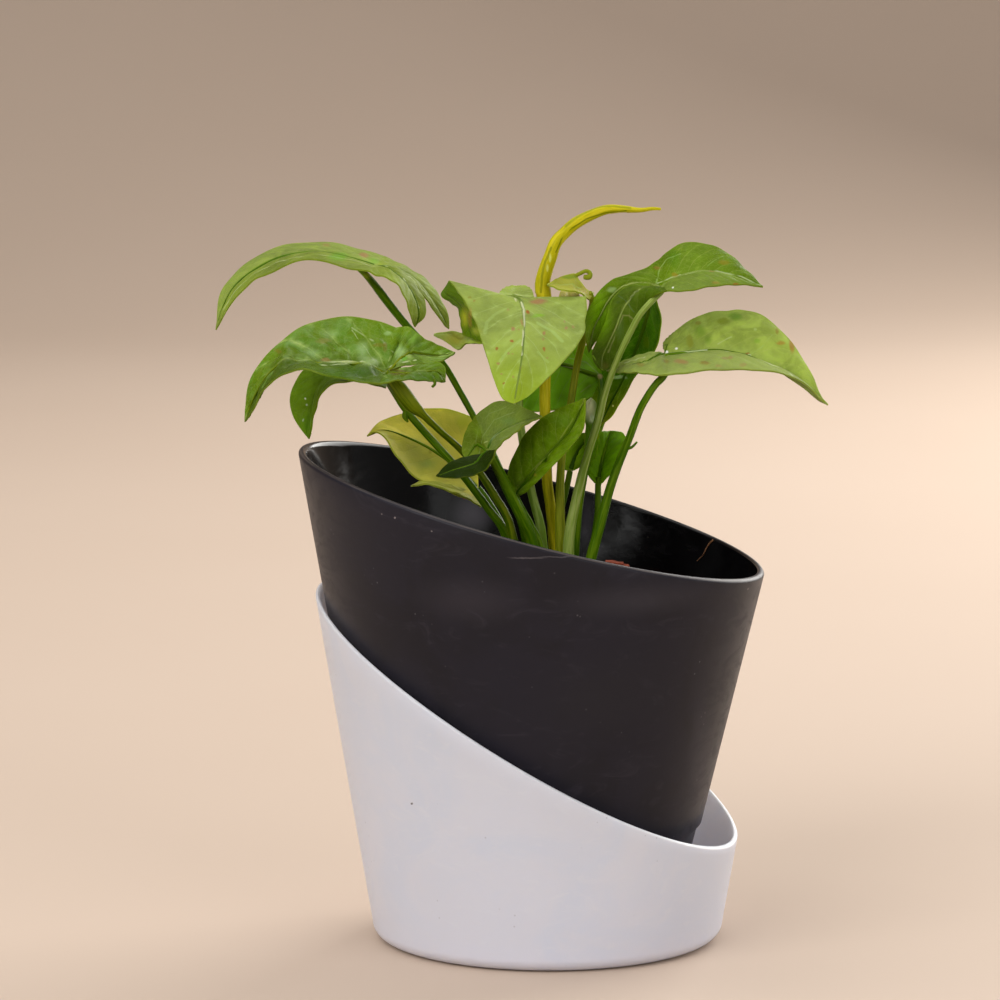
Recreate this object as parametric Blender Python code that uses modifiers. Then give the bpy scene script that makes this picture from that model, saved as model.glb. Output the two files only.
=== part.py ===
"""Arrowhead plant growing in a slanted two-piece planter: a black pot standing in a pale water vessel.

Metres, +Z up. The origin is the middle of the vessel's flat underside, +X runs to the low side of
both slanted rims, and the plant is seen from -Y.
"""

import math

import bmesh
import bpy
from mathutils import Vector

MM = 0.001

# Fit
CLEARANCE = 0.3 * MM
WELD_DISTANCES = (0.03 * MM, 0.02 * MM, 0.01 * MM, 0.004 * MM)

# Water vessel
VESSEL_FLAT_RADIUS = 48.0 * MM
VESSEL_FILLET_HEIGHT = 4.7 * MM
VESSEL_RADIUS_LOW = 53.0 * MM
VESSEL_TAPER = 0.168
VESSEL_FLOOR = 2.5 * MM
VESSEL_WALL_LOW = 2.5 * MM
VESSEL_WALL_RIM = 1.5 * MM
VESSEL_RIM_HEIGHT = 64.7 * MM
VESSEL_RIM_SLOPE_X = -0.583
VESSEL_RIM_SLOPE_Y = 0.1075

# Inner pot
POT_STEP_HEIGHT = 34.0 * MM
POT_STEP_DEPTH = 1.0 * MM
POT_STEP_RADIUS = 50.7 * MM
POT_TAPER = 0.206
POT_AXIS_AT_STEP = -4.4 * MM
POT_LEAN = 0.0342
POT_WALL_LOW = 2.6 * MM
POT_WALL_RIM = 2.4 * MM
POT_FLOOR_UNDER = 8.0 * MM
POT_FLOOR = 2.5 * MM
POT_RIM_HEIGHT = 129.1 * MM
POT_RIM_SLOPE_X = -0.2638
POT_FOOT_RADIUS = 4.0 * MM
POT_FOOT_CIRCLE = 33.0 * MM
POT_FOOT_COUNT = 4
DRAIN_RADIUS = 2.5 * MM
DRAIN_CIRCLE = 20.0 * MM
DRAIN_COUNT = 6

# Potting soil
SOIL_HEIGHT = 101.2 * MM
SOIL_ROUGHNESS = 0.9 * MM
STALK_DEPTH = 12.0 * MM
HOLE_SIDES = 12

# Turned pieces
TURN_STEPS = 64
SOIL_STEPS = 40

# Leaves
BLADE_THICKNESS = 0.8 * MM
STALK_SIDES = 2

# Sight grid: leaf points are column, row and millimetres toward the viewer. One step of the grid
# is 0.3 mm at the pot's axis; rows count downward and both counts start at the top left corner.
SIGHT_STEP = 0.3 * MM
SIGHT_MIDDLE = 500.0
SIGHT_DISTANCE = 1650.0 * MM
SIGHT_ELEVATION = math.radians(8.6)
SIGHT_TARGET = Vector((-14.4 * MM, 0.0, 133.0 * MM))
SIGHT_FORWARD = Vector((0.0, math.cos(SIGHT_ELEVATION), -math.sin(SIGHT_ELEVATION)))
SIGHT_UP = Vector((0.0, math.sin(SIGHT_ELEVATION), math.cos(SIGHT_ELEVATION)))
SIGHT_EYE = SIGHT_TARGET - SIGHT_DISTANCE * SIGHT_FORWARD


# Scene and collections

def clear_scene():
    for item in list(bpy.data.objects):
        bpy.data.objects.remove(item, do_unlink=True)


def collection(name):
    group = bpy.data.collections.new(name)
    bpy.context.scene.collection.children.link(group)
    return group


def material(name, colour, roughness, metallic=0.0):
    finish = bpy.data.materials.new(name)
    finish.use_nodes = True
    shader = finish.node_tree.nodes["Principled BSDF"]
    shader.inputs["Base Color"].default_value = (*colour, 1.0)
    shader.inputs["Roughness"].default_value = roughness
    shader.inputs["Metallic"].default_value = metallic
    finish.diffuse_color = (*colour, 1.0)
    return finish


def new_object(name, mesh, group):
    item = bpy.data.objects.new(name, mesh)
    group.objects.link(item)
    return item


def evaluated_mesh(item):
    """The object's mesh with its modifiers applied."""
    bpy.context.view_layer.update()
    graph = bpy.context.evaluated_depsgraph_get()
    return bpy.data.meshes.new_from_object(item.evaluated_get(graph))


def shade(item, finish, angle=40.0):
    item.data.materials.clear()
    item.data.materials.append(finish)
    item.data.shade_smooth()
    item.data.set_sharp_from_angle(angle=math.radians(angle))


# Smooth paths

def sight_place(point):
    """Place of a point given by column, row and millimetres toward the viewer."""
    column, row, toward = point
    across = (column - SIGHT_MIDDLE) * SIGHT_STEP
    rise = (SIGHT_MIDDLE - row) * SIGHT_STEP
    on_plane = SIGHT_TARGET + Vector((across, 0.0, 0.0)) + rise * SIGHT_UP
    ray = on_plane - SIGHT_EYE
    reach = (-toward * MM - SIGHT_EYE.y) / ray.y
    return SIGHT_EYE + reach * ray


def curve_point(points, index, share):
    """Catmull-Rom point on the stretch that starts at index."""
    first = points[max(index - 1, 0)]
    start = points[index]
    end = points[index + 1]
    last = points[min(index + 2, len(points) - 1)]
    square = share * share
    cube = square * share
    return 0.5 * (2.0 * start + (end - first) * share
                  + (2.0 * first - 5.0 * start + 4.0 * end - last) * square
                  + (3.0 * start - first - 3.0 * end + last) * cube)


def smooth_path(points, count, fine=12):
    """Count points evenly spaced along a smooth curve through the given ones."""
    dense = [curve_point(points, index, step / fine)
             for index in range(len(points) - 1) for step in range(fine)]
    dense.append(points[-1])
    lengths = [0.0]
    for before, after in zip(dense, dense[1:]):
        lengths.append(lengths[-1] + (after - before).length)
    path = []
    index = 0
    for step in range(count):
        wanted = lengths[-1] * step / (count - 1)
        while index < len(dense) - 2 and lengths[index + 1] < wanted:
            index += 1
        span = lengths[index + 1] - lengths[index]
        share = (wanted - lengths[index]) / span if span > 0.0 else 0.0
        path.append(dense[index].lerp(dense[index + 1], min(share, 1.0)))
    return path


# Turned and slanted pieces

def turned(name, profile, steps, group):
    """Profile of (radius, height), axis first and down its outer side last, turned round Z."""
    mesh = bpy.data.meshes.new(name)
    points = [(radius, 0.0, height) for radius, height in profile]
    mesh.from_pydata(points, [(i, i + 1) for i in range(len(points) - 1)], [])
    outline = new_object(name + "_profile", mesh, group)
    screw = outline.modifiers.new("turn", "SCREW")
    screw.steps = steps
    screw.render_steps = steps
    screw.use_merge_vertices = True
    screw.merge_threshold = 0.00001
    body = new_object(name, evaluated_mesh(outline), group)
    bpy.data.objects.remove(outline, do_unlink=True)
    return body


def slant(item, start, level_rim, radius_at, lean_at, plane):
    """Raise and lower the wall above start so that its rim, level before, lies in the slanted plane.

    Every point keeps its distance from the cone and its share of the height from start to rim.
    """
    base, slope_x, slope_y = plane
    taper = radius_at(1.0) - radius_at(0.0)
    lean = lean_at(1.0) - lean_at(0.0)
    for vertex in item.data.vertices:
        x, y, z = vertex.co
        inset = radius_at(z) - math.hypot(x, y)
        turn = math.atan2(y, x)
        if z > start:
            share = (z - start) / (level_rim - start)
            slope = slope_x * math.cos(turn) + slope_y * math.sin(turn)
            run = share * (taper * slope + lean * slope_x)
            offset = (radius_at(0.0) - inset) * slope + lean_at(0.0) * slope_x
            z = (start + share * (base - start + offset)) / (1.0 - run)
        radius = max(radius_at(z) - inset, 0.0)
        if math.hypot(x, y) < 1e-7:
            radius = 0.0
        vertex.co = (lean_at(z) + radius * math.cos(turn), radius * math.sin(turn), z)


def arc(centre, radius, start, end, steps):
    """Points on an arc in the profile plane, angles in degrees from +radius."""
    turns = [math.radians(start + (end - start) * i / steps) for i in range(steps + 1)]
    return [(centre[0] + radius * math.cos(t), centre[1] + radius * math.sin(t)) for t in turns]


# Booleans

def connected_points(build):
    """Groups of points joined by edges, largest group first."""
    left = set(build.verts)
    groups = []
    while left:
        start = left.pop()
        group = {start}
        front = [start]
        while front:
            point = front.pop()
            for edge in point.link_edges:
                other = edge.other_vert(point)
                if other in left:
                    left.remove(other)
                    group.add(other)
                    front.append(other)
        groups.append(group)
    return sorted(groups, key=len, reverse=True)


def weld(mesh, distance):
    """Merge points closer than distance, then drop loose scraps and the walls of sealed hollows.

    Returns whether every edge then has exactly two faces.
    """
    build = bmesh.new()
    build.from_mesh(mesh)
    bmesh.ops.remove_doubles(build, verts=build.verts, dist=distance)
    bmesh.ops.dissolve_degenerate(build, edges=build.edges, dist=distance)
    bmesh.ops.triangulate(build, faces=build.faces)
    scraps = [point for group in connected_points(build)[1:] for point in group]
    bmesh.ops.delete(build, geom=scraps, context="VERTS")
    closed = all(edge.is_manifold for edge in build.edges)
    build.to_mesh(mesh)
    build.free()
    return closed


def combine(item, operation, others, solver="EXACT"):
    """Apply one Boolean with all the others, then remove them."""
    operands = bpy.data.collections.new("operands")
    bpy.context.scene.collection.children.link(operands)
    for other in others:
        operands.objects.link(other)
    step = item.modifiers.new("combine", "BOOLEAN")
    step.operation = operation
    step.operand_type = "COLLECTION"
    step.collection = operands
    step.solver = solver
    step.use_self = operation == "UNION"
    for distance in WELD_DISTANCES:
        mesh = evaluated_mesh(item)
        if weld(mesh, distance):
            break
    item.modifiers.clear()
    item.data = mesh
    for other in others:
        bpy.data.objects.remove(other, do_unlink=True)
    bpy.data.collections.remove(operands)


def upright_cylinder(name, x, y, bottom, top, radius, sides, group):
    mesh = bpy.data.meshes.new(name)
    build = bmesh.new()
    bmesh.ops.create_cone(build, cap_ends=True, cap_tris=False, segments=sides,
                          radius1=radius, radius2=radius, depth=top - bottom)
    bmesh.ops.translate(build, verts=build.verts, vec=(x, y, (top + bottom) / 2.0))
    build.to_mesh(mesh)
    build.free()
    return new_object(name, mesh, group)


# Planter

def vessel_radius(height):
    return VESSEL_RADIUS_LOW + VESSEL_TAPER * (height - VESSEL_FILLET_HEIGHT)


def make_vessel(group):
    """Pale outer vessel with a flat base and a slanted rim, open for water on its low side."""
    fillet = VESSEL_RADIUS_LOW - VESSEL_FLAT_RADIUS
    half_rim = VESSEL_WALL_RIM / 2.0
    rim_radius = vessel_radius(VESSEL_RIM_HEIGHT) - half_rim
    profile = [(0.0, VESSEL_FLOOR), (VESSEL_FLAT_RADIUS - 3.0 * MM, VESSEL_FLOOR)]
    inner_low = VESSEL_FILLET_HEIGHT + 1.5 * MM
    profile += [(VESSEL_FLAT_RADIUS - 0.5 * MM, VESSEL_FLOOR + 1.2 * MM),
                (vessel_radius(inner_low) - VESSEL_WALL_LOW, inner_low)]
    profile += arc((rim_radius, VESSEL_RIM_HEIGHT - half_rim), half_rim, 180.0, 0.0, 4)
    profile += [(vessel_radius(inner_low), inner_low)]
    profile += [(VESSEL_FLAT_RADIUS + fillet * math.cos(math.radians(a)),
                 VESSEL_FILLET_HEIGHT * (1.0 + math.sin(math.radians(a)))) for a in (-12, -40, -65, -90)]
    profile += [(0.0, 0.0)]
    vessel = turned("outer_vessel", profile, TURN_STEPS, group)
    slant(vessel, inner_low, VESSEL_RIM_HEIGHT, vessel_radius, lambda height: 0.0,
          (VESSEL_RIM_HEIGHT, VESSEL_RIM_SLOPE_X, VESSEL_RIM_SLOPE_Y))
    shade(vessel, material("pale_plastic", (0.60, 0.58, 0.65), 0.45))


def pot_radius(height):
    return POT_STEP_RADIUS + POT_TAPER * (height - POT_STEP_HEIGHT)


def pot_axis(height):
    return POT_AXIS_AT_STEP + POT_LEAN * (height - POT_STEP_HEIGHT)


def make_pot(group):
    """Black inner pot: a leaning cone on four feet, with drain holes and a rounded slanted rim."""
    floor_top = POT_FLOOR_UNDER + POT_FLOOR
    half_rim = POT_WALL_RIM / 2.0
    step_top = POT_STEP_HEIGHT + 1.5 * MM
    curve_top = floor_top + 2.0 * MM
    inner_foot = pot_radius(curve_top) - POT_STEP_DEPTH - POT_WALL_LOW
    outer_foot = pot_radius(POT_FLOOR_UNDER) - POT_STEP_DEPTH
    profile = [(0.0, floor_top), (inner_foot - 2.0 * MM, floor_top), (inner_foot, curve_top),
               (pot_radius(step_top) - POT_STEP_DEPTH - POT_WALL_LOW, step_top)]
    profile += arc((pot_radius(POT_RIM_HEIGHT) - half_rim, POT_RIM_HEIGHT - half_rim),
                   half_rim, 180.0, 0.0, 4)
    profile += [(pot_radius(step_top), step_top),
                (pot_radius(POT_STEP_HEIGHT) - POT_STEP_DEPTH, POT_STEP_HEIGHT),
                (outer_foot, POT_FLOOR_UNDER + 2.0 * MM), (outer_foot - 2.0 * MM, POT_FLOOR_UNDER),
                (0.0, POT_FLOOR_UNDER)]
    pot = turned("inner_pot", profile, TURN_STEPS, group)
    slant(pot, step_top, POT_RIM_HEIGHT, pot_radius, pot_axis, (POT_RIM_HEIGHT, POT_RIM_SLOPE_X, 0.0))
    middle = pot_axis(POT_FLOOR_UNDER)
    feet = []
    for index in range(POT_FOOT_COUNT):
        turn = math.tau * (index + 0.5) / POT_FOOT_COUNT
        feet.append(upright_cylinder("foot", middle + POT_FOOT_CIRCLE * math.cos(turn),
                                     POT_FOOT_CIRCLE * math.sin(turn), VESSEL_FLOOR + CLEARANCE,
                                     POT_FLOOR_UNDER + POT_FLOOR / 2.0, POT_FOOT_RADIUS, 20, group))
    combine(pot, "UNION", feet)
    holes = [upright_cylinder("drain", middle, 0.0, 0.0, floor_top + 5.0 * MM, DRAIN_RADIUS, 16, group)]
    for index in range(DRAIN_COUNT):
        turn = math.tau * index / DRAIN_COUNT
        holes.append(upright_cylinder("drain", middle + DRAIN_CIRCLE * math.cos(turn),
                                      DRAIN_CIRCLE * math.sin(turn), 0.0, floor_top + 5.0 * MM,
                                      DRAIN_RADIUS, 16, group))
    combine(pot, "DIFFERENCE", holes)
    shade(pot, material("black_plastic", (0.028, 0.026, 0.030), 0.38))


# Leaves

class Blade:
    """Leaf surface between two edges, or two edges and a midrib, as lists of sight points."""

    def __init__(self, left, right, mid=None, rows=10, columns=3, bulge=0.0):
        self.left = left
        self.right = right
        self.mid = mid
        self.rows = rows
        self.columns = columns
        self.bulge = bulge * MM


class Stalk:
    """Round stem through sight points, with a radius in millimetres at each end or at each point."""

    def __init__(self, points, radii, steps=None):
        self.points = points
        self.radii = radii
        self.steps = steps


class Leaf:
    """One leaf with its stalk, whose foot stands at (x, toward) millimetres in the soil."""

    def __init__(self, name, blades, stalk, foot, extras=(), colour=(0.13, 0.26, 0.03)):
        self.name = name
        self.blades = blades
        self.stalk = stalk
        self.foot = foot
        self.extras = extras
        self.colour = colour


def half_rows(start_rail, end_rail, columns, bulge, rows):
    """Rows of points from one rail to the other, raised between them by bulge away from the ends."""
    grid = []
    for row in range(rows):
        start = start_rail[row]
        end = end_rail[row]
        ahead = start_rail[min(row + 1, rows - 1)] - start_rail[max(row - 1, 0)]
        normal = (end - start).cross(ahead)
        if normal.length > 0.0:
            normal.normalize()
        swell = bulge * min(1.0, 3.0 * row / (rows - 1), 3.0 * (rows - 1 - row) / (rows - 1))
        line = []
        for column in range(columns + 1):
            share = column / columns
            line.append(start.lerp(end, share) + normal * swell * 4.0 * share * (1.0 - share))
        grid.append(line)
    return grid


def blade_surface(build, blade):
    """Triangles of one blade's middle surface."""
    left = smooth_path([sight_place(p) for p in blade.left], blade.rows)
    right = smooth_path([sight_place(p) for p in blade.right], blade.rows)
    if blade.mid:
        mid = smooth_path([sight_place(p) for p in blade.mid], blade.rows)
        first = half_rows(mid, left, blade.columns, -blade.bulge, blade.rows)
        second = half_rows(mid, right, blade.columns, blade.bulge, blade.rows)
        lines = [list(reversed(a))[:-1] + b for a, b in zip(first, second)]
    else:
        lines = half_rows(left, right, blade.columns, blade.bulge, blade.rows)
    grid = [[build.verts.new(point) for point in line] for line in lines]
    for row in range(len(grid) - 1):
        for column in range(len(grid[0]) - 1):
            a, b = grid[row][column], grid[row][column + 1]
            c, d = grid[row + 1][column + 1], grid[row + 1][column]
            build.faces.new((a, b, c))
            build.faces.new((a, c, d))


def blade_object(name, blades, group):
    """Thin closed solid of blades that share their edges, split alike on both faces."""
    build = bmesh.new()
    for blade in blades:
        blade_surface(build, blade)
    bmesh.ops.remove_doubles(build, verts=build.verts, dist=0.02 * MM)
    bmesh.ops.dissolve_degenerate(build, edges=build.edges, dist=0.02 * MM)
    bmesh.ops.recalc_face_normals(build, faces=build.faces)
    mesh = bpy.data.meshes.new(name)
    build.to_mesh(mesh)
    build.free()
    item = new_object(name, mesh, group)
    thicken = item.modifiers.new("thicken", "SOLIDIFY")
    thicken.thickness = BLADE_THICKNESS
    thicken.offset = 0.0
    thicken.use_even_offset = False
    solid = evaluated_mesh(item)
    item.modifiers.clear()
    item.data = solid
    return item


def tube_object(name, places, radii, group):
    """Round rod through places with a radius at each, as a closed mesh."""
    curve = bpy.data.curves.new(name, "CURVE")
    curve.dimensions = "3D"
    curve.bevel_depth = 1.0
    curve.bevel_resolution = STALK_SIDES
    curve.use_fill_caps = True
    spline = curve.splines.new("POLY")
    spline.points.add(len(places) - 1)
    for point, place, radius in zip(spline.points, places, radii):
        point.co = (*place, 1.0)
        point.radius = radius
    guide = new_object(name + "_path", curve, group)
    mesh = evaluated_mesh(guide)
    build = bmesh.new()
    build.from_mesh(mesh)
    bmesh.ops.remove_doubles(build, verts=build.verts, dist=0.001 * MM)
    bmesh.ops.recalc_face_normals(build, faces=build.faces)
    build.to_mesh(mesh)
    build.free()
    rod = new_object(name, mesh, group)
    rod.matrix_world = guide.matrix_world
    bpy.data.objects.remove(guide, do_unlink=True)
    return rod


def spread(values, count):
    """Count values read evenly along a list by straight lines between its entries."""
    result = []
    for step in range(count):
        along = (len(values) - 1) * step / (count - 1)
        index = min(int(along), len(values) - 2)
        share = along - index
        result.append((values[index] * (1.0 - share) + values[index + 1] * share) * MM)
    return result


def stalk_places(leaf):
    """Path of a leaf's stalk from the blade to its foot, upright where it stands in the soil."""
    places = [sight_place(point) for point in leaf.stalk.points]
    x, toward = leaf.foot
    places.append(Vector((x * MM, -toward * MM, SOIL_HEIGHT + 5.0 * MM)))
    count = leaf.stalk.steps or len(places) + 3
    path = smooth_path(places, count)
    path.append(Vector((x * MM, -toward * MM, SOIL_HEIGHT - STALK_DEPTH)))
    radii = spread(leaf.stalk.radii, count)
    radii.append(radii[-1])
    return path, radii


def make_leaf(leaf, group):
    places, radii = stalk_places(leaf)
    stem = tube_object(leaf.name, places, radii, group)
    pieces = []
    for index, blades in enumerate(leaf.blades):
        pieces.append(blade_object(f"{leaf.name}_blade_{index}", blades, group))
    for index, extra in enumerate(leaf.extras):
        path = smooth_path([sight_place(p) for p in extra.points], extra.steps or 5)
        pieces.append(tube_object(f"{leaf.name}_extra_{index}", path, spread(extra.radii, len(path)),
                                  group))
    combine(stem, "UNION", pieces)
    shade(stem, material(leaf.name + "_green", leaf.colour, 0.45), 60.0)
    return stem


def upper_left_leaf():
    """Long leaf arching to the upper left, seen nearly along its edge, with two hanging lobes."""
    joint = (376, 266, -12)
    far_start = (385, 257, -26)
    near_start = (368, 271, 1)
    tip = (216, 330, -14)
    mid = [joint, (350, 258, -13), (317, 252, -14), (283, 256, -15), (258, 267, -16), (236, 284, -16),
           (223, 306, -15), tip]
    far = [far_start, (361, 250, -27), (337, 244, -28), (304, 243, -28), (273, 249, -27), (251, 261, -25),
           (231, 278, -21), (220, 297, -18), tip]
    near = [near_start, (352, 269, 2), (333, 264, 1), (308, 259, -1), (285, 266, -3), (266, 275, -6),
            (250, 283, -9), (229, 307, -13), tip]
    near_lobe = Blade([joint, (395, 268, -10), (412, 281, -8), (424, 300, -6), (425, 315, -4),
                       (415, 327, -2)],
                      [near_start, (376, 275, 2), (384, 277, 2), (397, 284, 3), (406, 300, 3),
                       (411, 317, 1), (415, 327, -2)],
                      rows=7)
    far_lobe = Blade([joint, (392, 268, -14), (411, 281, -16), (428, 302, -18), (440, 319, -19),
                      (449, 329, -20)],
                     [far_start, (404, 266, -27), (425, 279, -27), (438, 295, -25), (448, 316, -22),
                      (449, 329, -20)], rows=7)
    stalk = Stalk([(353, 263, -8), (361, 270, -5), (367, 276, -6), (373, 283, -9), (380, 292, -11),
                   (393, 309, -12), (407, 326, -12), (425, 345, -11),
                   (444, 365, -11), (460, 392, -10), (474, 417, -9), (487, 441, -7), (500, 470, -4),
                   (513, 500, -2), (524, 530, -1)], [0.8, 1.3, 1.1, 1.0, 1.0, 1.2, 1.4, 1.5])
    return Leaf("leaf_upper_left", [[Blade(far, near, mid, 12), near_lobe, far_lobe]], stalk,
                (-4.5, -1.0))


def left_front_leaf():
    """Large creased leaf on the left, tilted to the viewer, with its tip bent down."""
    joint = (385, 373, 25)
    far_start = (396, 328, 12)
    near_start = (380, 384, 38)
    tip = (245, 422, 22)
    mid = [joint, (368, 366, 26), (350, 362, 27), (324, 363, 28), (300, 362, 28), (284, 361, 28),
           (268, 374, 27), (256, 392, 25), (249, 408, 23), tip]
    far = [far_start, (376, 321, 12), (350, 317, 13), (319, 321, 14), (292, 333, 16), (264, 359, 18),
           (251, 378, 20), (246, 402, 21), tip]
    near = [near_start, (370, 383, 39), (350, 380, 40), (326, 375, 40), (308, 370, 39), (296, 370, 37),
            (281, 376, 34), (264, 389, 30), (257, 403, 26), tip]
    near_lobe = Blade([joint, (400, 369, 27), (420, 365, 28), (438, 362, 28), (445, 369, 28),
                       (445, 382, 29)],
                      [near_start, (402, 380, 37), (426, 381, 35), (438, 382, 32), (445, 382, 29)],
                      rows=6)
    far_lobe = Blade([joint, (400, 367, 23), (420, 364, 20), (442, 361, 17), (455, 352, 14)],
                     [far_start, (408, 327, 12), (425, 339, 12), (450, 350, 13), (455, 352, 14)], rows=6)
    stalk = Stalk([joint, (389, 377, 25), (396, 385, 25), (404, 395, 25), (412, 405, 24), (420, 412, 22),
                   (440, 431, 16), (460, 449, 10), (478, 470, 8), (496, 498, 8), (510, 525, 8)],
                  [1.4, 2.4, 2.3, 1.1, 0.95, 0.95, 1.0, 1.0, 1.1, 1.2, 1.2, 1.3, 1.4, 1.5, 1.5], 16)
    curl = Stalk([(434, 380, 33), (435, 384, 34), (432, 387, 34)], [0.5, 0.4])
    return Leaf("leaf_left_front", [[Blade(far, near, mid, 12, bulge=0.6), near_lobe, far_lobe]], stalk,
                (-7.0, 7.5), [curl])


def left_hanging_leaf():
    """Dark leaf under the large left one, reaching left and then hanging straight down."""
    joint = (388, 381, 12)
    far_start = (382, 370, 1)
    tip = (309, 439, 8)
    mid = [joint, (370, 378, 11), (350, 376, 10), (335, 376, 9), (324, 380, 9), (317, 389, 8),
           (313, 403, 8), (311, 420, 8), tip]
    far = [far_start, (365, 364, -1), (345, 361, -2), (320, 363, -2), (303, 371, -1), (295, 384, 1),
           (290, 400, 3), (293, 415, 5), (301, 429, 7), tip]
    near = [(386, 388, 20), (376, 385, 22), (358, 381, 23), (343, 382, 22), (331, 385, 20),
            (323, 391, 18.5),
            (318, 401, 16), (314, 415, 12), (311, 429, 10), tip]
    far_lobe = Blade([joint, (396, 378, 8), (404, 370, 3)], [far_start, (395, 366, 0), (404, 370, 3)],
                     rows=4, columns=2)
    stalk = Stalk([joint, (395, 393, 13), (406, 410, 13), (420, 427, 13), (440, 449, 12), (456, 467, 11),
                   (472, 487, 8), (489, 510, 5), (505, 534, 3.5)], [1.1, 1.1, 1.2, 1.6])
    scale = Stalk([(406, 411, 13), (405, 417, 14), (408, 422, 14)], [0.9, 0.9, 0.3])
    return Leaf("leaf_left_hanging", [[Blade(far, near, mid, 11, 2), far_lobe]], stalk, (-8.5, 3.0),
                [scale],
                (0.07, 0.16, 0.02))


def centre_front_leaf():
    """Broad leaf arching to the viewer and hanging over the middle, its left edge folded behind."""
    joint = (514, 298, -3)
    left_start = (449, 281, -6)
    right_start = (586, 297, -4)
    tip = (514, 404, 36)
    mid = [joint, (520, 301, 3), (524, 315, 13), (524, 336, 22), (522, 357, 29), (518, 380, 34), tip]
    left = [left_start, (461, 296, 3), (468, 308, 9), (476, 324, 16), (482, 342, 22), (488, 361, 27),
            (494, 380, 31), (502, 398, 35), tip]
    right = [right_start, (587, 310, 2), (585, 321, 7), (585, 331, 12), (578, 344, 19), (565, 360, 25),
             (550, 376, 30), (530, 395, 34), tip]
    fold = Blade([left_start, (441, 294, -6), (450, 302, -3), (458, 308, 0), (461, 322, 5),
                  (463, 335, 9)],
                 [(451, 283, -5), (461, 296, 3), (468, 308, 9), (476, 324, 16), (482, 342, 22)], rows=7,
                 columns=2)
    flap = Blade([(434, 334, 2), (452, 331, 5), (462, 333, 8), (475, 335, 14), (484, 339, 20)],
                 [(434, 336, 2), (446, 342, 5), (458, 350, 9), (466, 344, 12), (484, 344, 21)], rows=7,
                 columns=2)
    near_back = Blade([(499, 295, -3.4), (501, 291, -9), (508, 287, -15), (518, 286, -18)],
                      [(534, 298, -3), (532, 291, -9), (527, 287, -15), (518, 286, -18)], rows=5,
                      columns=3)
    side_back = Blade([(558, 299, -4), (560, 293, -10), (563, 290, -15), (569, 289.5, -18)],
                      [(580, 299, -4), (579, 294, -10), (576, 290.5, -15), (569, 289.5, -18)], rows=5,
                      columns=2)
    stalk = Stalk([(514, 298, -3), (514, 304, -8), (517, 325, -11), (518, 350, -11), (519, 400, -9),
                   (522, 436, -6),
                   (531, 490, -1), (541, 530, 2)], [1.2, 1.2, 1.3, 1.5])
    return Leaf("leaf_centre_front",
                [[Blade(left, right, mid, 11, bulge=0.8)], [fold], [flap], [near_back], [side_back]],
                stalk, (-0.5, 2.0), colour=(0.28, 0.40, 0.12))


def low_left_leaf():
    """Broad pale leaf low on the left, just inside the pot's high side."""
    joint = (478, 488, -4)
    tip = (367, 436, 0)
    mid = [joint, (455, 466, -4), (430, 448, -4), (400, 434, -3), (382, 430, -2), tip]
    far = [(478, 424, -14), (469, 416, -15), (446, 409, -16), (422, 409, -15), (405, 413, -13),
           (386, 419, -9), (377, 424, -6), tip]
    near = [(470, 500, 3), (449, 492, 6), (430, 484, 7), (419, 480, 6), (410, 472, 6), (398, 458, 5),
            (391, 447, 4), (381, 434, 2), (373, 432, 1), tip]
    strip = Blade([(476, 492, -3), (450, 485, 4), (430, 481, 7), (419, 481, 8), (411, 486, 9)],
                  [(481, 507, 1), (463, 496, 5), (449, 491, 8), (436, 486, 9), (424, 484, 9),
                   (411, 486, 9)],
                  rows=7, columns=2)
    stalk = Stalk([joint, (487, 500, -3.5), (500, 522, -3), (510, 545, -2.5)], [1.0, 1.2, 1.4])
    return Leaf("leaf_low_left", [[Blade(far, near, mid, 10, bulge=1.2)], [strip]], stalk, (-9.5, -2.0),
                colour=(0.27, 0.30, 0.05))


def middle_left_leaf():
    """Small leaf in front of the left stalks, pointing right, with a dark near lobe."""
    joint = (488, 451, 22)
    far_start = (476, 416, 12)
    near_start = (496, 450, 28)
    tip = (542, 416, 25)
    mid = [joint, (493, 439, 20), (504, 430, 20), (522, 423, 22), tip]
    far = [far_start, (485, 408, 12), (494, 403, 12), (503, 401, 13), (514, 404, 16), (526, 409, 20), tip]
    near = [near_start, (504, 441, 29), (515, 433, 29), (525, 425, 28), (535, 420, 26), tip]
    far_lobe = Blade([joint, (482, 455, 19.5), (474, 459, 18.5), (466, 460, 18)],
                     [far_start, (468, 427, 12), (463, 440, 14), (462, 452, 16.5), (466, 460, 18)],
                     rows=6)
    near_lobe = Blade([joint, (477, 455, 22), (466, 457, 22), (453, 461, 23), (445, 466, 24.5),
                       (436, 476, 26)],
                      [near_start, (491, 463, 29), (484, 471, 29), (472, 476, 28), (458, 478, 27),
                       (447, 478, 27), (436, 476, 26)], rows=7)
    stalk = Stalk([joint, (493, 460, 21), (501, 475, 19), (511, 496, 16), (523, 520, 13),
                   (532, 543, 10.5)],
                  [1.3, 1.6, 1.7, 1.7, 1.7])
    return Leaf("leaf_middle_left", [[Blade(far, near, mid, 8, bulge=0.5), far_lobe, near_lobe]], stalk,
                (-3.0, 9.5))


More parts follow.
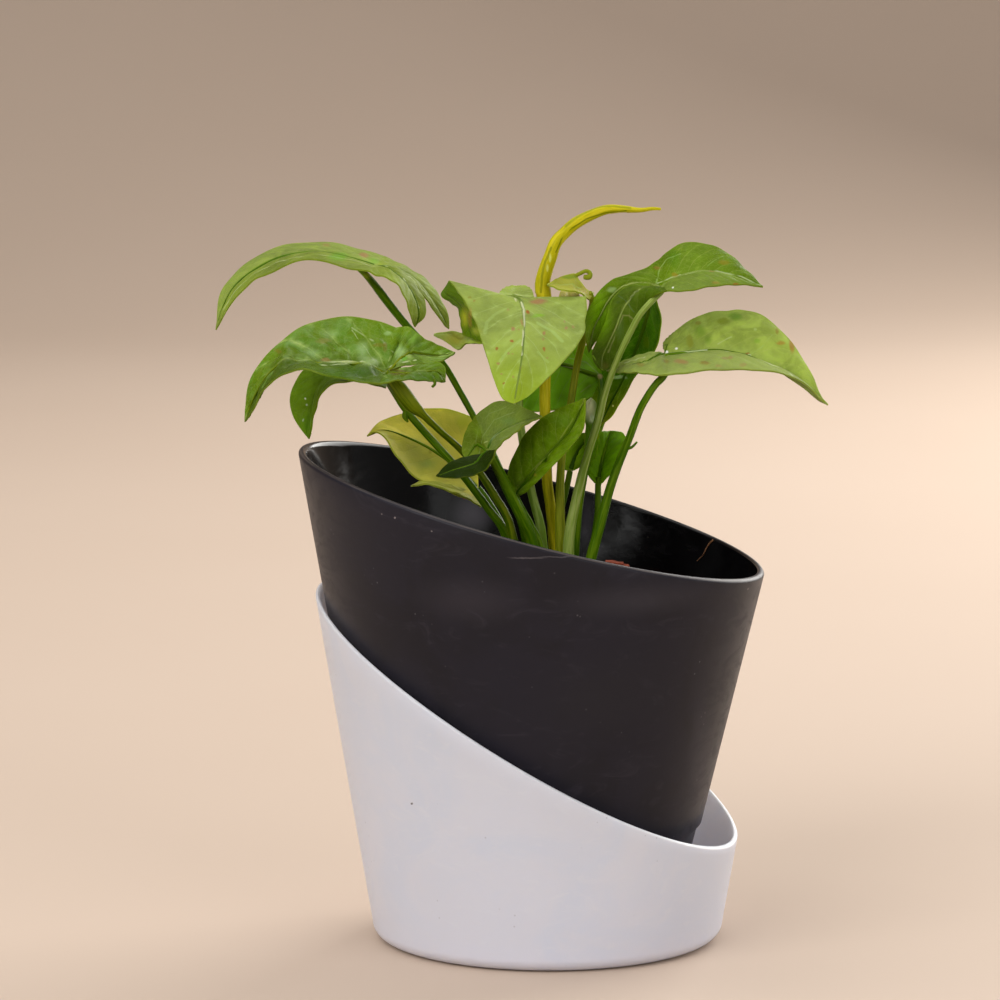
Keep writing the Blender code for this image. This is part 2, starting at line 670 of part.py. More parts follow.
def low_centre_leaf():
    """Leaf standing up low in the middle, its face to the viewer."""
    base = (515, 497, 10.5)
    tip = (585, 398, 21)
    mid = [base, (533, 473, 15), (552, 451, 17), (570, 430, 19), tip]
    left = [(511, 492, 10.5), (508, 480, 9.5), (509, 468, 10), (514, 456, 11), (520, 443, 12),
            (528, 431, 14),
            (542, 418, 16), (560, 408, 18), tip]
    right = [(520, 495, 12), (526, 492, 15), (535, 484, 18), (545, 474, 19), (556, 463, 20),
             (570, 448, 21),
             (582, 432, 22), (585, 420, 22), tip]
    stalk = Stalk([base, (520, 507, 9), (530, 525, 7.5), (539, 545, 6.5)], [1.2, 1.3, 1.4])
    return Leaf("leaf_low_centre", [[Blade(left, right, mid, 10, 2, bulge=0.6)]], stalk, (0.5, 6.5),
                colour=(0.11, 0.22, 0.02))


def rolled_leaf():
    """Newest leaf, still rolled into a spear that bends over to the right."""
    spear = [(661, 209, -16), (652, 208.5, -16), (640, 210, -15), (622, 209, -14), (606, 210, -13),
             (590, 216, -12), (575, 224, -11), (564, 234, -11), (556, 243, -10), (551, 256, -10),
             (547, 267, -10), (543, 281, -10), (543.5, 293, -10)]
    stem = [(545, 320, -9.5), (545, 360, -9), (545, 415, -7), (547, 478, -4), (552, 520, -3)]
    radii = [0.4, 0.8, 1.5, 1.8, 1.9, 2.0, 2.2, 2.5, 2.0, 1.75, 1.7, 1.7, 1.7, 1.65, 1.6, 1.6, 1.55, 1.5,
             1.5]
    return Leaf("leaf_rolled", [], Stalk(spear + stem, radii, 26), (2.5, -2.5), colour=(0.32, 0.35, 0.02))


def opening_leaf():
    """Young yellow-green leaf just opening beside the rolled one, with a curled thread at its end."""
    tip = (547, 284.5, -6.5)
    upper = [(594, 293, -10), (585, 287, -10), (579, 280, -11), (575, 274, -12), (563, 276, -10),
             (554, 280, -7), tip]
    lower = [(589, 300, -7), (580, 293, -4), (570, 291, -2), (561, 290, -2), (553, 287, -4), tip]
    stalk = Stalk([(589, 293, -9), (592, 299, -10), (592, 306, -12), (588, 320, -14.5), (583, 340, -14),
                   (577, 365, -11), (571, 401, -9), (565, 435, -5), (561, 467, -1), (560, 510, 1.5)],
                  [1.0, 1.1, 1.1, 1.2, 1.5, 1.6])
    thread = Stalk([(575, 276, -11.5), (581, 273, -12), (586, 271, -12), (590, 273, -12),
                    (589, 277, -11.5),
                    (584, 277, -11)], [0.6, 0.6, 0.6, 0.7, 0.9, 0.7], 8)
    return Leaf("leaf_opening", [[Blade(upper, lower, rows=8, columns=3, bulge=1.0)]], stalk, (4.0, 2.5),
                [thread], (0.40, 0.42, 0.06))


def upper_right_leaf():
    """Leaf reaching to the upper right, both lobes hanging down past the middle."""
    joint = (664, 287, -5)
    far_start = (659, 260, -16)
    near_start = (667, 291, 5)
    tip = (763, 287, 1)
    mid = [joint, (675, 279, -5), (688, 274, -5), (703, 271, -4), (720, 273, -3), (738, 278, -1),
           (752, 283, 0), tip]
    far = [far_start, (667, 253, -17), (678, 245, -18), (690, 243, -18), (705, 244, -17), (727, 253, -13),
           (747, 271, -6), (757, 281, -2), tip]
    near = [near_start, (676, 291, 6), (689, 291, 7), (702, 288, 7), (716, 286, 6), (729, 285, 5),
            (745, 285, 3), (755, 286, 2), tip]
    far_lobe = Blade([joint, (647, 286, -9), (634, 289, -10), (623, 298, -10), (615, 309, -9.5),
                      (609, 321, -9),
                      (602, 332, -8), (595, 343, -6.5), (589, 353, -5)],
                     [far_start, (646, 268, -16), (631, 274, -15), (614, 279, -13), (600, 290, -10),
                      (590, 306, -8), (584, 320, -7), (585, 333, -6), (589, 353, -5)], rows=9)
    near_lobe = Blade([joint, (645, 286, -4), (629, 286, -4), (615, 296, -4), (609, 309, -4),
                       (605, 322, -4),
                       (597, 340, -3.5), (592, 353, -3), (595, 364, -2.5), (603, 371, -2)],
                      [near_start, (656, 295, 2), (646, 305, -1), (637, 319, -2.5), (629, 335, -3),
                       (620, 352, -3), (611, 366, -2.5), (603, 371, -2)], rows=9)
    stalk = Stalk([(666, 285, -4.5), (660, 293, -2), (649, 304, 1.5), (639, 316, 2), (631, 331, 2),
                   (622, 349, 2),
                   (613, 370, 2), (605, 394, 3), (598, 422, 4), (590, 447, 5.5), (583, 470, 6.5),
                   (575, 505, 6.5), (569, 540, 6.5)], [0.95, 0.95, 0.95, 1.0, 1.1, 1.4, 1.7, 1.7])
    return Leaf("leaf_upper_right", [[Blade(far, near, mid, 10, bulge=0.8), far_lobe, near_lobe]], stalk,
                (6.0, 6.5))


def right_leaf():
    """Large pale leaf reaching right, its long tip drooping and one lobe pointing back to the middle."""
    joint = (665, 355, -2)
    far_start = (676, 331, -11)
    near_start = (668, 375, 14)
    tip = (828, 405, 10)
    mid = [joint, (680, 353, 1), (700, 351, 3), (717, 350, 4), (731, 352, 5), (749, 356, 6),
           (766, 364, 7),
           (784, 373, 8), (805, 387, 9), tip]
    far = [far_start, (690, 321, -12), (702, 315, -12), (713, 312, -12), (727, 312, -11), (740, 310, -10),
           (760, 315, -7), (780, 330, -3), (798, 352, 2), (811, 374, 6), (819, 392, 8), tip]
    near = [near_start, (695, 372, 16), (713, 370, 17), (731, 370, 17), (749, 370, 17), (765, 371, 16),
            (790, 376, 14), (811, 389, 12), (820, 398, 11), tip]
    far_lobe = Blade([joint, (664.5, 352, -5), (663.5, 348.5, -8), (663, 345, -11)],
                     [far_start, (670, 336, -13), (665, 341, -13), (663, 345, -11)], rows=4)
    near_lobe = Blade([joint, (660, 352, -1), (652, 352.5, -1), (640, 355, -2), (627, 360, -3),
                       (617, 364, -5),
                       (606, 371, -6)],
                      [near_start, (654, 375, 13), (638, 373, 9), (622, 373, 3), (612, 372, -2),
                       (606, 371, -6)],
                      rows=7)
    stalk = Stalk([(667, 356, -1.5), (667, 368, 1.5), (663, 377, 3), (656, 384, 4), (647, 397, 3.5),
                   (639, 412, 3), (630, 436, 2.5), (617, 468, 2), (608, 495, 2), (600, 525, 2), (593, 550,
                                                                                                 2)],
                  [1.1, 1.1, 1.2, 1.4, 1.6, 1.7])
    spur = Stalk([(626, 449, 2.5), (632, 447, 3), (637, 442, 4)], [0.5, 0.4, 0.3])
    return Leaf("leaf_right", [[Blade(far, near, mid, 12, bulge=1.0), far_lobe, near_lobe]], stalk,
                (10.5, 2.0), [spur], (0.22, 0.33, 0.08))


def low_right_leaf():
    """Small dark leaf low on the right, folded behind the right stalk, its left half standing up."""
    base = (598, 486, -4)
    tip = (611, 431, -14)
    mid = [base, (601, 465, -6), (606, 446, -9), tip]
    left = [(594, 482, -4), (586, 472, -5), (585, 462, -6), (590, 448, -8), (598, 434, -11), tip]
    right = [(603, 482, -4), (614, 470, -3), (622, 455, -5), (627, 442, -8), (622, 433, -12), tip]
    upright = Blade([(590, 468, -5), (585, 452, -6), (585, 437, -7), (586, 425, -7.5), (583, 413, -8),
                     (585, 404, -8.5), (591, 398, -9)],
                    [(597, 450, -6.5), (599, 438, -8.5), (600, 428, -9), (600, 419, -8.8),
                     (598, 409, -8.8),
                     (596, 402, -9), (591, 398, -9)], rows=8, columns=2)
    stalk = Stalk([(599, 477, -4.5), (598, 486, -4.5), (598, 510, -4), (595, 535, -4)],
                  [0.9, 1.0, 1.1, 1.2])
    return Leaf("leaf_low_right", [[Blade(left, right, mid, 7, 2, bulge=0.5)], [upright]], stalk,
                (12.0, -3.5), colour=(0.04, 0.09, 0.01))


def low_inner_leaf():
    """Small dark leaf low behind the middle stalks."""
    base = (570, 471, -9)
    tip = (591, 433, -13)
    mid = [base, (577, 452, -11), (585, 441, -12), tip]
    left = [(566, 470, -9), (560, 465, -10), (559, 455, -12), (566, 442, -13), (578, 434, -13), tip]
    right = [(575, 470, -9), (581, 466, -8.5), (587, 455, -10), (592, 443, -12), tip]
    stalk = Stalk([base, (566, 490, -8), (558, 520, -7), (551, 550, -7)], [0.9, 1.1, 1.2])
    return Leaf("leaf_low_inner", [[Blade(left, right, mid, 6, 2, bulge=0.5)]], stalk, (-1.0, -6.5),
                colour=(0.05, 0.11, 0.01))


def right_hanging_leaf():
    """Long dark leaf hanging behind the right side, light showing through its lower half."""
    joint = (652, 297, -14)
    tip = (600, 426, -15)
    mid = [joint, (648, 315, -17), (638, 345, -20), (625, 375, -21), (611, 402, -19), tip]
    left = [(642, 296, -18), (628, 315, -22), (613, 340, -24), (598, 368, -23), (588, 390, -21),
            (584, 408, -18), (589, 420, -16), tip]
    right = [(656, 299, -10), (661, 320, -11), (660, 332, -13), (655, 350, -14), (647, 362, -15),
             (637, 374, -15),
             (628, 388, -15), (620, 403, -15), (611, 416, -15), tip]
    stalk = Stalk([(651, 301, -15.5), (648, 308, -20), (638, 330, -27), (625, 365, -29), (606, 410, -25),
                   (590, 455, -17), (576, 500, -11), (566, 540, -8)], [1.0, 1.1, 1.2, 1.5])
    return Leaf("leaf_right_hanging", [[Blade(left, right, mid, 10, bulge=0.6)]], stalk, (4.0, -7.0),
                colour=(0.10, 0.17, 0.01))


def centre_back_leaf():
    """Dark leaf behind the middle, its pale veins meeting at the right."""
    joint = (601, 377, -15)
    tip = (516, 403, -16)
    mid = [joint, (580, 370, -16), (560, 364, -17), (540, 368, -17), (525, 384, -17), tip]
    upper = [(602, 356, -18), (580, 342, -21), (560, 339, -22), (540, 346, -21), (524, 364, -19),
             (518, 385, -17), tip]
    lower = [(592, 397, -12), (575, 404, -12), (560, 409, -12), (545, 411, -13), (530, 411, -14), tip]
    stalk = Stalk([(599, 376, -15), (602, 384, -12), (600, 408, -5), (595, 430, -2), (588, 455, -1),
                   (583, 480, -1),
                   (578, 515, -2)], [1.1, 1.2, 1.3])
    return Leaf("leaf_centre_back", [[Blade(upper, lower, mid, 9, bulge=0.8)]], stalk, (7.5, -2.5),
                colour=(0.06, 0.13, 0.01))


def all_leaves():
    return [upper_left_leaf(), left_front_leaf(), left_hanging_leaf(), centre_front_leaf(),
            low_left_leaf(),
            middle_left_leaf(), low_centre_leaf(), rolled_leaf(), opening_leaf(), upper_right_leaf(),
            right_leaf(), low_right_leaf(), low_inner_leaf(), right_hanging_leaf(), centre_back_leaf()]


# Soil

def make_soil(leaves, group):
    """Soil filling the pot to just under its low rim, with a plain hole for each stalk."""
    floor = POT_FLOOR_UNDER + POT_FLOOR + CLEARANCE
    inset = POT_STEP_DEPTH + POT_WALL_LOW + CLEARANCE
    side = SOIL_HEIGHT - 1.5 * MM
    profile = [(0.0, SOIL_HEIGHT)]
    rings = (12.0, 24.0, 36.0, 48.0, 56.0)
    profile += [(radius * MM, SOIL_HEIGHT) for radius in rings]
    profile += [(pot_radius(side) - inset, side),
                (pot_radius(floor + 3.0 * MM) - inset, floor + 3.0 * MM),
                (pot_radius(floor) - inset - 3.5 * MM, floor), (0.0, floor)]
    soil = turned("soil", profile, SOIL_STEPS, group)
    for vertex in soil.data.vertices:
        x, y, z = vertex.co
        if z > SOIL_HEIGHT - 0.1 * MM:
            z += SOIL_ROUGHNESS * math.sin(x * 240.0 + 1.0) * math.cos(y * 310.0 + 0.5)
        vertex.co = (x + pot_axis(z), y, z)
    holes = []
    for leaf in leaves:
        x, toward = leaf.foot
        radius = (leaf.stalk.radii[-1] * MM + CLEARANCE) / math.cos(math.pi / HOLE_SIDES)
        holes.append(upright_cylinder("hole", x * MM, -toward * MM, SOIL_HEIGHT - STALK_DEPTH - CLEARANCE,
                                      SOIL_HEIGHT + 8.0 * MM, radius, HOLE_SIDES, group))
    combine(soil, "DIFFERENCE", holes)
    shade(soil, material("potting_soil", (0.05, 0.032, 0.022), 0.95))


def make_clay_chip(group):
    """Broken bit of red clay lying on the soil near the back wall."""
    mesh = bpy.data.meshes.new("clay_chip")
    build = bmesh.new()
    bmesh.ops.create_cube(build, size=1.0)
    bmesh.ops.bevel(build, geom=build.edges, offset=0.18, segments=2, affect="EDGES")
    for vertex in build.verts:
        x, y, z = vertex.co
        vertex.co = (10.5 * MM * x * (1.0 - 0.25 * z), 7.0 * MM * y * (1.0 + 0.15 * x),
                     5.0 * MM * z * (1.0 - 0.35 * x))
    bmesh.ops.translate(build, verts=build.verts, vec=(21.0 * MM, 46.0 * MM, SOIL_HEIGHT + 3.3 * MM))
    build.to_mesh(mesh)
    build.free()
    chip = new_object("clay_chip", mesh, group)
    shade(chip, material("red_clay", (0.35, 0.09, 0.04), 0.85))


def main():
    clear_scene()
    group = collection("arrowhead_plant")
    make_vessel(group)
    make_pot(group)
    leaves = all_leaves()
    make_soil(leaves, group)
    make_clay_chip(group)
    for leaf in leaves:
        make_leaf(leaf, group)


main()
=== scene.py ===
"""Looks of the potted arrowhead plant: finer leaves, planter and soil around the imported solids.

Metres, +Z up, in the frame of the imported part. The plant is seen from -Y.
"""
import math
import random

import bmesh
import bpy
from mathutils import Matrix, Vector, noise
from mathutils.bvhtree import BVHTree


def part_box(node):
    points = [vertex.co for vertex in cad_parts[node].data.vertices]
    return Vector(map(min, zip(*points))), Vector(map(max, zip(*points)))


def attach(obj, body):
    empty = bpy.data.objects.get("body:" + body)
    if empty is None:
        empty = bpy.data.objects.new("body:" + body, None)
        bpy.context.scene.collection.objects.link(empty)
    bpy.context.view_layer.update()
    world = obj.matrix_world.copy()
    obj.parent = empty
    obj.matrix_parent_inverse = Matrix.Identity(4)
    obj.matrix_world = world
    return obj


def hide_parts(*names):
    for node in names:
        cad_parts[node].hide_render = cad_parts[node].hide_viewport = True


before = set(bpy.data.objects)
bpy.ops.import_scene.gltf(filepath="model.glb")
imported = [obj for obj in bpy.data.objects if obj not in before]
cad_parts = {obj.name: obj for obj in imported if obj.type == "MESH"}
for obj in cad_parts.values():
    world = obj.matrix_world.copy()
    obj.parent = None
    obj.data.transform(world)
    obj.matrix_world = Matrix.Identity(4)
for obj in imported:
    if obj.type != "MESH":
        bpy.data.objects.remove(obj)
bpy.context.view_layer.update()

MM = 0.001

# Water vessel
VESSEL_FLAT_RADIUS = 48.0 * MM
VESSEL_FILLET_HEIGHT = 4.7 * MM
VESSEL_RADIUS_LOW = 53.0 * MM
VESSEL_TAPER = 0.168
VESSEL_FLOOR = 2.5 * MM
VESSEL_WALL_LOW = 2.5 * MM
VESSEL_WALL_RIM = 1.5 * MM
VESSEL_RIM_HEIGHT = 64.7 * MM
VESSEL_RIM_SLOPE_X = -0.583
VESSEL_RIM_SLOPE_Y = 0.1075

# Inner pot
POT_STEP_HEIGHT = 34.0 * MM
POT_STEP_DEPTH = 1.0 * MM
POT_STEP_RADIUS = 50.6 * MM
POT_TAPER = 0.206
POT_AXIS_AT_STEP = -4.4 * MM
POT_LEAN = 0.0342
POT_WALL_LOW = 2.6 * MM
POT_WALL_RIM = 2.4 * MM
POT_FLOOR_UNDER = 8.0 * MM
POT_FLOOR = 2.5 * MM
POT_RIM_HEIGHT = 129.1 * MM
POT_RIM_SLOPE_X = -0.2638
POT_FOOT_RADIUS = 4.0 * MM
POT_FOOT_CIRCLE = 33.0 * MM
POT_FOOT_COUNT = 4
POT_FOOT_BOTTOM = 2.8 * MM
DRAIN_RADIUS = 2.5 * MM
DRAIN_CIRCLE = 20.0 * MM
DRAIN_COUNT = 6
TURN_STEPS = 160

# Potting soil
SOIL_HEIGHT = 101.2 * MM
SOIL_ROUGHNESS = 0.9 * MM
STALK_DEPTH = 12.0 * MM
SOIL_STEPS = 120
SOIL_RINGS = 30
CRUMB_COUNT = 500

# Leaves
BLADE_THICKNESS = 0.5 * MM
BLADE_ROWS_PER_MM = 1.5
BLADE_COLUMNS = 18
STALK_SIDES = 16
STALK_RINGS_PER_MM = 0.8
EXTRA_RINGS_PER_MM = 2.5
VEIN_BEND = 1.15
VEIN_SHIFT = 0.3
VEIN_START = 0.42
GROOVE_DEPTH = 0.35
GROOVE_WIDTH = 0.9
PLAIN_TONES = (0.0, 0.0, 0.0, 0.0)
SEAM_TURNS_PER_MM = 0.012
SEAM_LIFT = 0.24
SEAM_SINK = 0.14
STALK_BUMPS = 0.05
MERGE_DISTANCE = 0.02 * MM
MARK_DEPTH = 2.5
BROAD_MARK = 1.0 * MM
LEAF_GLOW = (0.75, 1.0, 0.2)
LEAF_GLOW_DEPTH = 1.6 * MM
TOP_FACES, UNDER_FACES, STEM_FACES = range(3)

# Sight grid: leaf points are column, row and millimetres toward the viewer. One step of the grid
# is 0.3 mm at the pot's axis; rows count downward and both counts start at the top left corner.
SIGHT_STEP = 0.3 * MM
SIGHT_MIDDLE = 500.0
SIGHT_DISTANCE = 1650.0 * MM
SIGHT_ELEVATION = math.radians(8.6)
SIGHT_TARGET = Vector((-14.4 * MM, 0.0, 133.0 * MM))
SIGHT_FORWARD = Vector((0.0, math.cos(SIGHT_ELEVATION), -math.sin(SIGHT_ELEVATION)))
SIGHT_UP = Vector((0.0, math.sin(SIGHT_ELEVATION), math.cos(SIGHT_ELEVATION)))
SIGHT_EYE = SIGHT_TARGET - SIGHT_DISTANCE * SIGHT_FORWARD

# Marks: column, row, half width and half height in steps of the sight grid, colour and strength
VESSEL_MARKS = ((412, 804, 1.0, 1.2, (70, 66, 72), 0.9), (502, 757, 1.6, 0.8, (120, 118, 130), 0.6))
# Pot wall marks: the four broad ones are painted light and shade, darker in the middle, lighter on the left
# and below the rim on the right, with a faint painted sheen near the right edge; the rest are two thin light
# lines under the front rim and small light dots.
POT_MARKS_AND_PAINTED_LIGHT = ((528, 558, 16, 0.7, (96, 90, 92), 0.5), (556, 557, 14, 0.6, (90, 85, 88), 0.45),
             (395, 518, 0.8, 0.8, (150, 140, 140), 0.6), (382, 514, 0.7, 0.7, (140, 130, 130), 0.5),
             (432, 531, 0.8, 0.8, (140, 132, 132), 0.5), (748, 589, 1.2, 1.0, (120, 112, 108), 0.5),
             (600, 700, 60, 40, (34, 32, 37), 0.7), (470, 600, 50, 22, (50, 46, 52), 0.6),
             (700, 760, 12, 60, (66, 62, 70), 0.25), (640, 600, 70, 16, (52, 49, 55), 0.6))
# Inner wall marks: the two broad grey-violet patches are painted reflections; the small red-brown one is a
# speck of clay.
POT_INSIDE_REFLECTIONS_AND_SPECK = ((474, 514, 22, 18, (92, 86, 96), 0.5), (586, 520, 6, 26, (84, 78, 88), 0.3),
                    (464, 498, 1.5, 1.2, (110, 45, 30), 0.9))
ROOT_SIGHTS = ((713, 540), (709, 544), (706, 549), (703, 555), (699, 559), (697, 561))
ROOT_RINGS = 40
ROOT_RADIUS = 0.28 * MM
ROOT_THINNING = 0.16 * MM

# Studio: floor and wall, lights as name, place, size, power and colour, and the camera
FLOOR_HALF_WIDTH = 6.0
FLOOR_HEIGHT = -0.0002
FLOOR_FRONT = -3.0
FLOOR_BEND_START = 1.5
FLOOR_BEND_RADIUS = 1.2
WALL_TOP = 5.0
LIGHT_TARGET = (0.0, 0.0, 0.12)
LIGHTS = (("key", (-0.9, -1.2, 1.0), (1.2, 1.2), 20.0, (1.0, 1.0, 0.99)),
          ("fill", (1.2, -1.3, 0.7), (1.4, 1.2), 10.0, (1.0, 1.0, 1.0)),
          ("top", (-0.3, 0.3, 1.5), (1.4, 1.2), 10.0, (1.0, 1.0, 0.99)),
          ("back", (0.9, 1.1, 0.7), (1.2, 1.0), 22.0, (1.0, 0.99, 0.96)))
SKY_COLOUR = (1.0, 0.98, 0.95, 1.0)
SKY_STRENGTH = 0.35
CAMERA_SENSOR_MM = 36.0
CAMERA_LENS_MM = 198.0
CAMERA_NEAR = 0.05
CAMERA_FAR = 30.0


# Smooth paths

def sight_place(point):
    """Place of a point given by column, row and millimetres toward the viewer."""
    column, row, toward = point
    across = (column - SIGHT_MIDDLE) * SIGHT_STEP
    rise = (SIGHT_MIDDLE - row) * SIGHT_STEP
    on_plane = SIGHT_TARGET + Vector((across, 0.0, 0.0)) + rise * SIGHT_UP
    ray = on_plane - SIGHT_EYE
    reach = (-toward * MM - SIGHT_EYE.y) / ray.y
    return SIGHT_EYE + reach * ray


def sight_grid(place):
    """Column and row at which a place is seen."""
    ray = place - SIGHT_EYE
    ray *= SIGHT_DISTANCE / ray.dot(SIGHT_FORWARD)
    return Vector((SIGHT_MIDDLE + ray.x / SIGHT_STEP, SIGHT_MIDDLE - ray.dot(SIGHT_UP) / SIGHT_STEP))


def line_distance(spot, line):
    """Distance from a flat spot to a line through flat points."""
    nearest = 1000.0
    for start, end in zip(line, line[1:]):
        run = end - start
        share = min(max((spot - start).dot(run) / run.dot(run), 0.0), 1.0)
        nearest = min(nearest, (spot - start - run * share).length)
    return nearest


def curve_point(points, index, share):
    """Catmull-Rom point on the stretch that starts at index."""
    first = points[max(index - 1, 0)]
    start = points[index]
    end = points[index + 1]
    last = points[min(index + 2, len(points) - 1)]
    square = share * share
    cube = square * share
    return 0.5 * (2.0 * start + (end - first) * share
                  + (2.0 * first - 5.0 * start + 4.0 * end - last) * square
                  + (3.0 * start - first - 3.0 * end + last) * cube)


def smooth_path(points, count, fine=12):
    """Count points evenly spaced along a smooth curve through the given ones."""
    dense = [curve_point(points, index, step / fine)
             for index in range(len(points) - 1) for step in range(fine)]
    dense.append(points[-1])
    lengths = [0.0]
    for before, after in zip(dense, dense[1:]):
        lengths.append(lengths[-1] + (after - before).length)
    path = []
    index = 0
    for step in range(count):
        wanted = lengths[-1] * step / (count - 1)
        while index < len(dense) - 2 and lengths[index + 1] < wanted:
            index += 1
        span = lengths[index + 1] - lengths[index]
        share = (wanted - lengths[index]) / span if span > 0.0 else 0.0
        path.append(dense[index].lerp(dense[index + 1], min(share, 1.0)))
    return path


def ahead_at(path, index):
    """Way from the point before the one at index to the point after it."""
    return path[min(index + 1, len(path) - 1)] - path[max(index - 1, 0)]


def path_length(path):
    return sum((b - a).length for a, b in zip(path, path[1:]))


def smooth_step(low, high, value):
    share = min(max((value - low) / (high - low), 0.0), 1.0)
    return share * share * (3.0 - 2.0 * share)


# Materials

def srgb(red, green, blue):
    """Linear colour of a screen colour from 0 to 255."""
    def linear(level):
        level = level / 255.0
        return level / 12.92 if level <= 0.04045 else ((level + 0.055) / 1.055) ** 2.4
    return (linear(red), linear(green), linear(blue), 1.0)


class Look:
    """One procedural material and short ways to add nodes to it."""

    def __init__(self, name):
        self.material = bpy.data.materials.new(name)
        self.material.use_nodes = True
        self.tree = self.material.node_tree
        self.shader = self.tree.nodes["Principled BSDF"]

    def node(self, kind, inputs=None, **settings):
        made = self.tree.nodes.new(kind)
        for key, value in settings.items():
            setattr(made, key, value)
        for key, value in (inputs or {}).items():
            self.feed(made.inputs[key], value)
        return made

    def feed(self, socket, value):
        if isinstance(value, bpy.types.NodeSocket):
            self.tree.links.new(value, socket)
        else:
            socket.default_value = value

    def math(self, operation, first, second=0.0, clamp=False):
        return self.node("ShaderNodeMath", {0: first, 1: second}, operation=operation,
                         use_clamp=clamp).outputs[0]

    def times(self, first, second, clamp=False):
        return self.math("MULTIPLY", first, second, clamp)

    def plus(self, first, second):
        return self.math("ADD", first, second)

    def vector(self, operation, first, second=(0.0, 0.0, 0.0)):
        made = self.node("ShaderNodeVectorMath", {0: first, 1: second}, operation=operation)
        return made.outputs["Value" if operation in ("LENGTH", "DOT_PRODUCT", "DISTANCE") else "Vector"]

    def steps(self, value, low, high, start=0.0, end=1.0):
        """Smooth change from start to end as value goes from low to high."""
        made = self.node("ShaderNodeMapRange", {"Value": value, "From Min": low, "From Max": high,
                                                "To Min": start, "To Max": end},
                         interpolation_type="SMOOTHSTEP")
        return made.outputs["Result"]

    def mix(self, share, first, second, blend="MIX"):
        made = self.node("ShaderNodeMix", data_type="RGBA", blend_type=blend)
        self.feed(made.inputs[0], share)
        self.feed(made.inputs[6], first)
        self.feed(made.inputs[7], second)
        return made.outputs[2]

    def noise(self, place, scale, detail=3.0, roughness=0.5, distortion=0.0):
        return self.node("ShaderNodeTexNoise", {"Vector": place, "Scale": scale, "Detail": detail,
                                                "Roughness": roughness,
                                                "Distortion": distortion}).outputs["Fac"]

    def cells(self, place, scale, feature="F1", out="Distance"):
        return self.node("ShaderNodeTexVoronoi", {"Vector": place, "Scale": scale},
                         feature=feature).outputs[out]

    def place(self):
        return self.node("ShaderNodeTexCoord").outputs["Object"]

    def map(self, name):
        return self.node("ShaderNodeUVMap", uv_map=name).outputs["UV"]

    def split(self, value):
        made = self.node("ShaderNodeSeparateXYZ", {0: value})
        return made.outputs[0], made.outputs[1], made.outputs[2]

    def join(self, x=0.0, y=0.0, z=0.0):
        return self.node("ShaderNodeCombineXYZ", {0: x, 1: y, 2: z}).outputs[0]

    def set(self, **values):
        for key, value in values.items():
            self.feed(self.shader.inputs[key.replace("_", " ")], value)

    def bump(self, height, distance, strength=1.0):
        made = self.node("ShaderNodeBump", {"Height": height, "Distance": distance, "Strength": strength})
        self.feed(self.shader.inputs["Normal"], made.outputs["Normal"])


def tinted(colour, share):
    """Colour made brighter by a positive share, or darker by a negative one."""
    return tuple(min(level * (1.0 + share), 1.0) for level in colour[:3]) + (1.0,)


def ragged_place(look, amount):
    """Place on the object, shifted a little to and fro so that marks get uneven edges."""
    place = look.place()
    sway = look.node("ShaderNodeTexNoise", {"Vector": place, "Scale": 420.0, "Detail": 3.0})
    shift = look.vector("SUBTRACT", sway.outputs["Color"], (0.5, 0.5, 0.5))
    shift = look.vector("MULTIPLY", shift, (amount, 0.0, amount))
    return look.vector("ADD", place, shift)


def marked(look, tone, place, marks):
    """Colour with soft oval marks, each (centre, half width, half height, colour, strength)."""
    for centre, wide, tall, colour, strength in marks:
        size = (wide, max(wide, tall) * MARK_DEPTH, tall)
        core = 0.55 if min(wide, tall) < BROAD_MARK else 0.0
        offset = look.node("ShaderNodeMapping", {"Vector": place, "Location": centre, "Scale": size},
                           vector_type="TEXTURE").outputs[0]
        tone = look.mix(look.steps(look.vector("LENGTH", offset), core, 1.5, strength, 0.0), tone, colour)
    return tone


def stroked(look, tone, place, strokes):
    """Colour with soft lines, each (places, half width, colour, strength)."""
    for places, wide, colour, strength in strokes:
        nearest = 1.0
        for start, end in zip(places, places[1:]):
            run = end - start
            along = look.vector("DOT_PRODUCT", place, tuple(run / run.length_squared))
            share = look.math("SUBTRACT", along, start.dot(run) / run.length_squared, True)
            point = look.node("ShaderNodeVectorMath", {0: tuple(run), 1: share, 2: tuple(start)},
                              operation="MULTIPLY_ADD").outputs[0]
            nearest = look.math("MINIMUM", look.vector("DISTANCE", place, point), nearest)
        tone = look.mix(look.steps(nearest, wide * 0.5, wide * 1.4, strength, 0.0), tone, colour)
    return tone


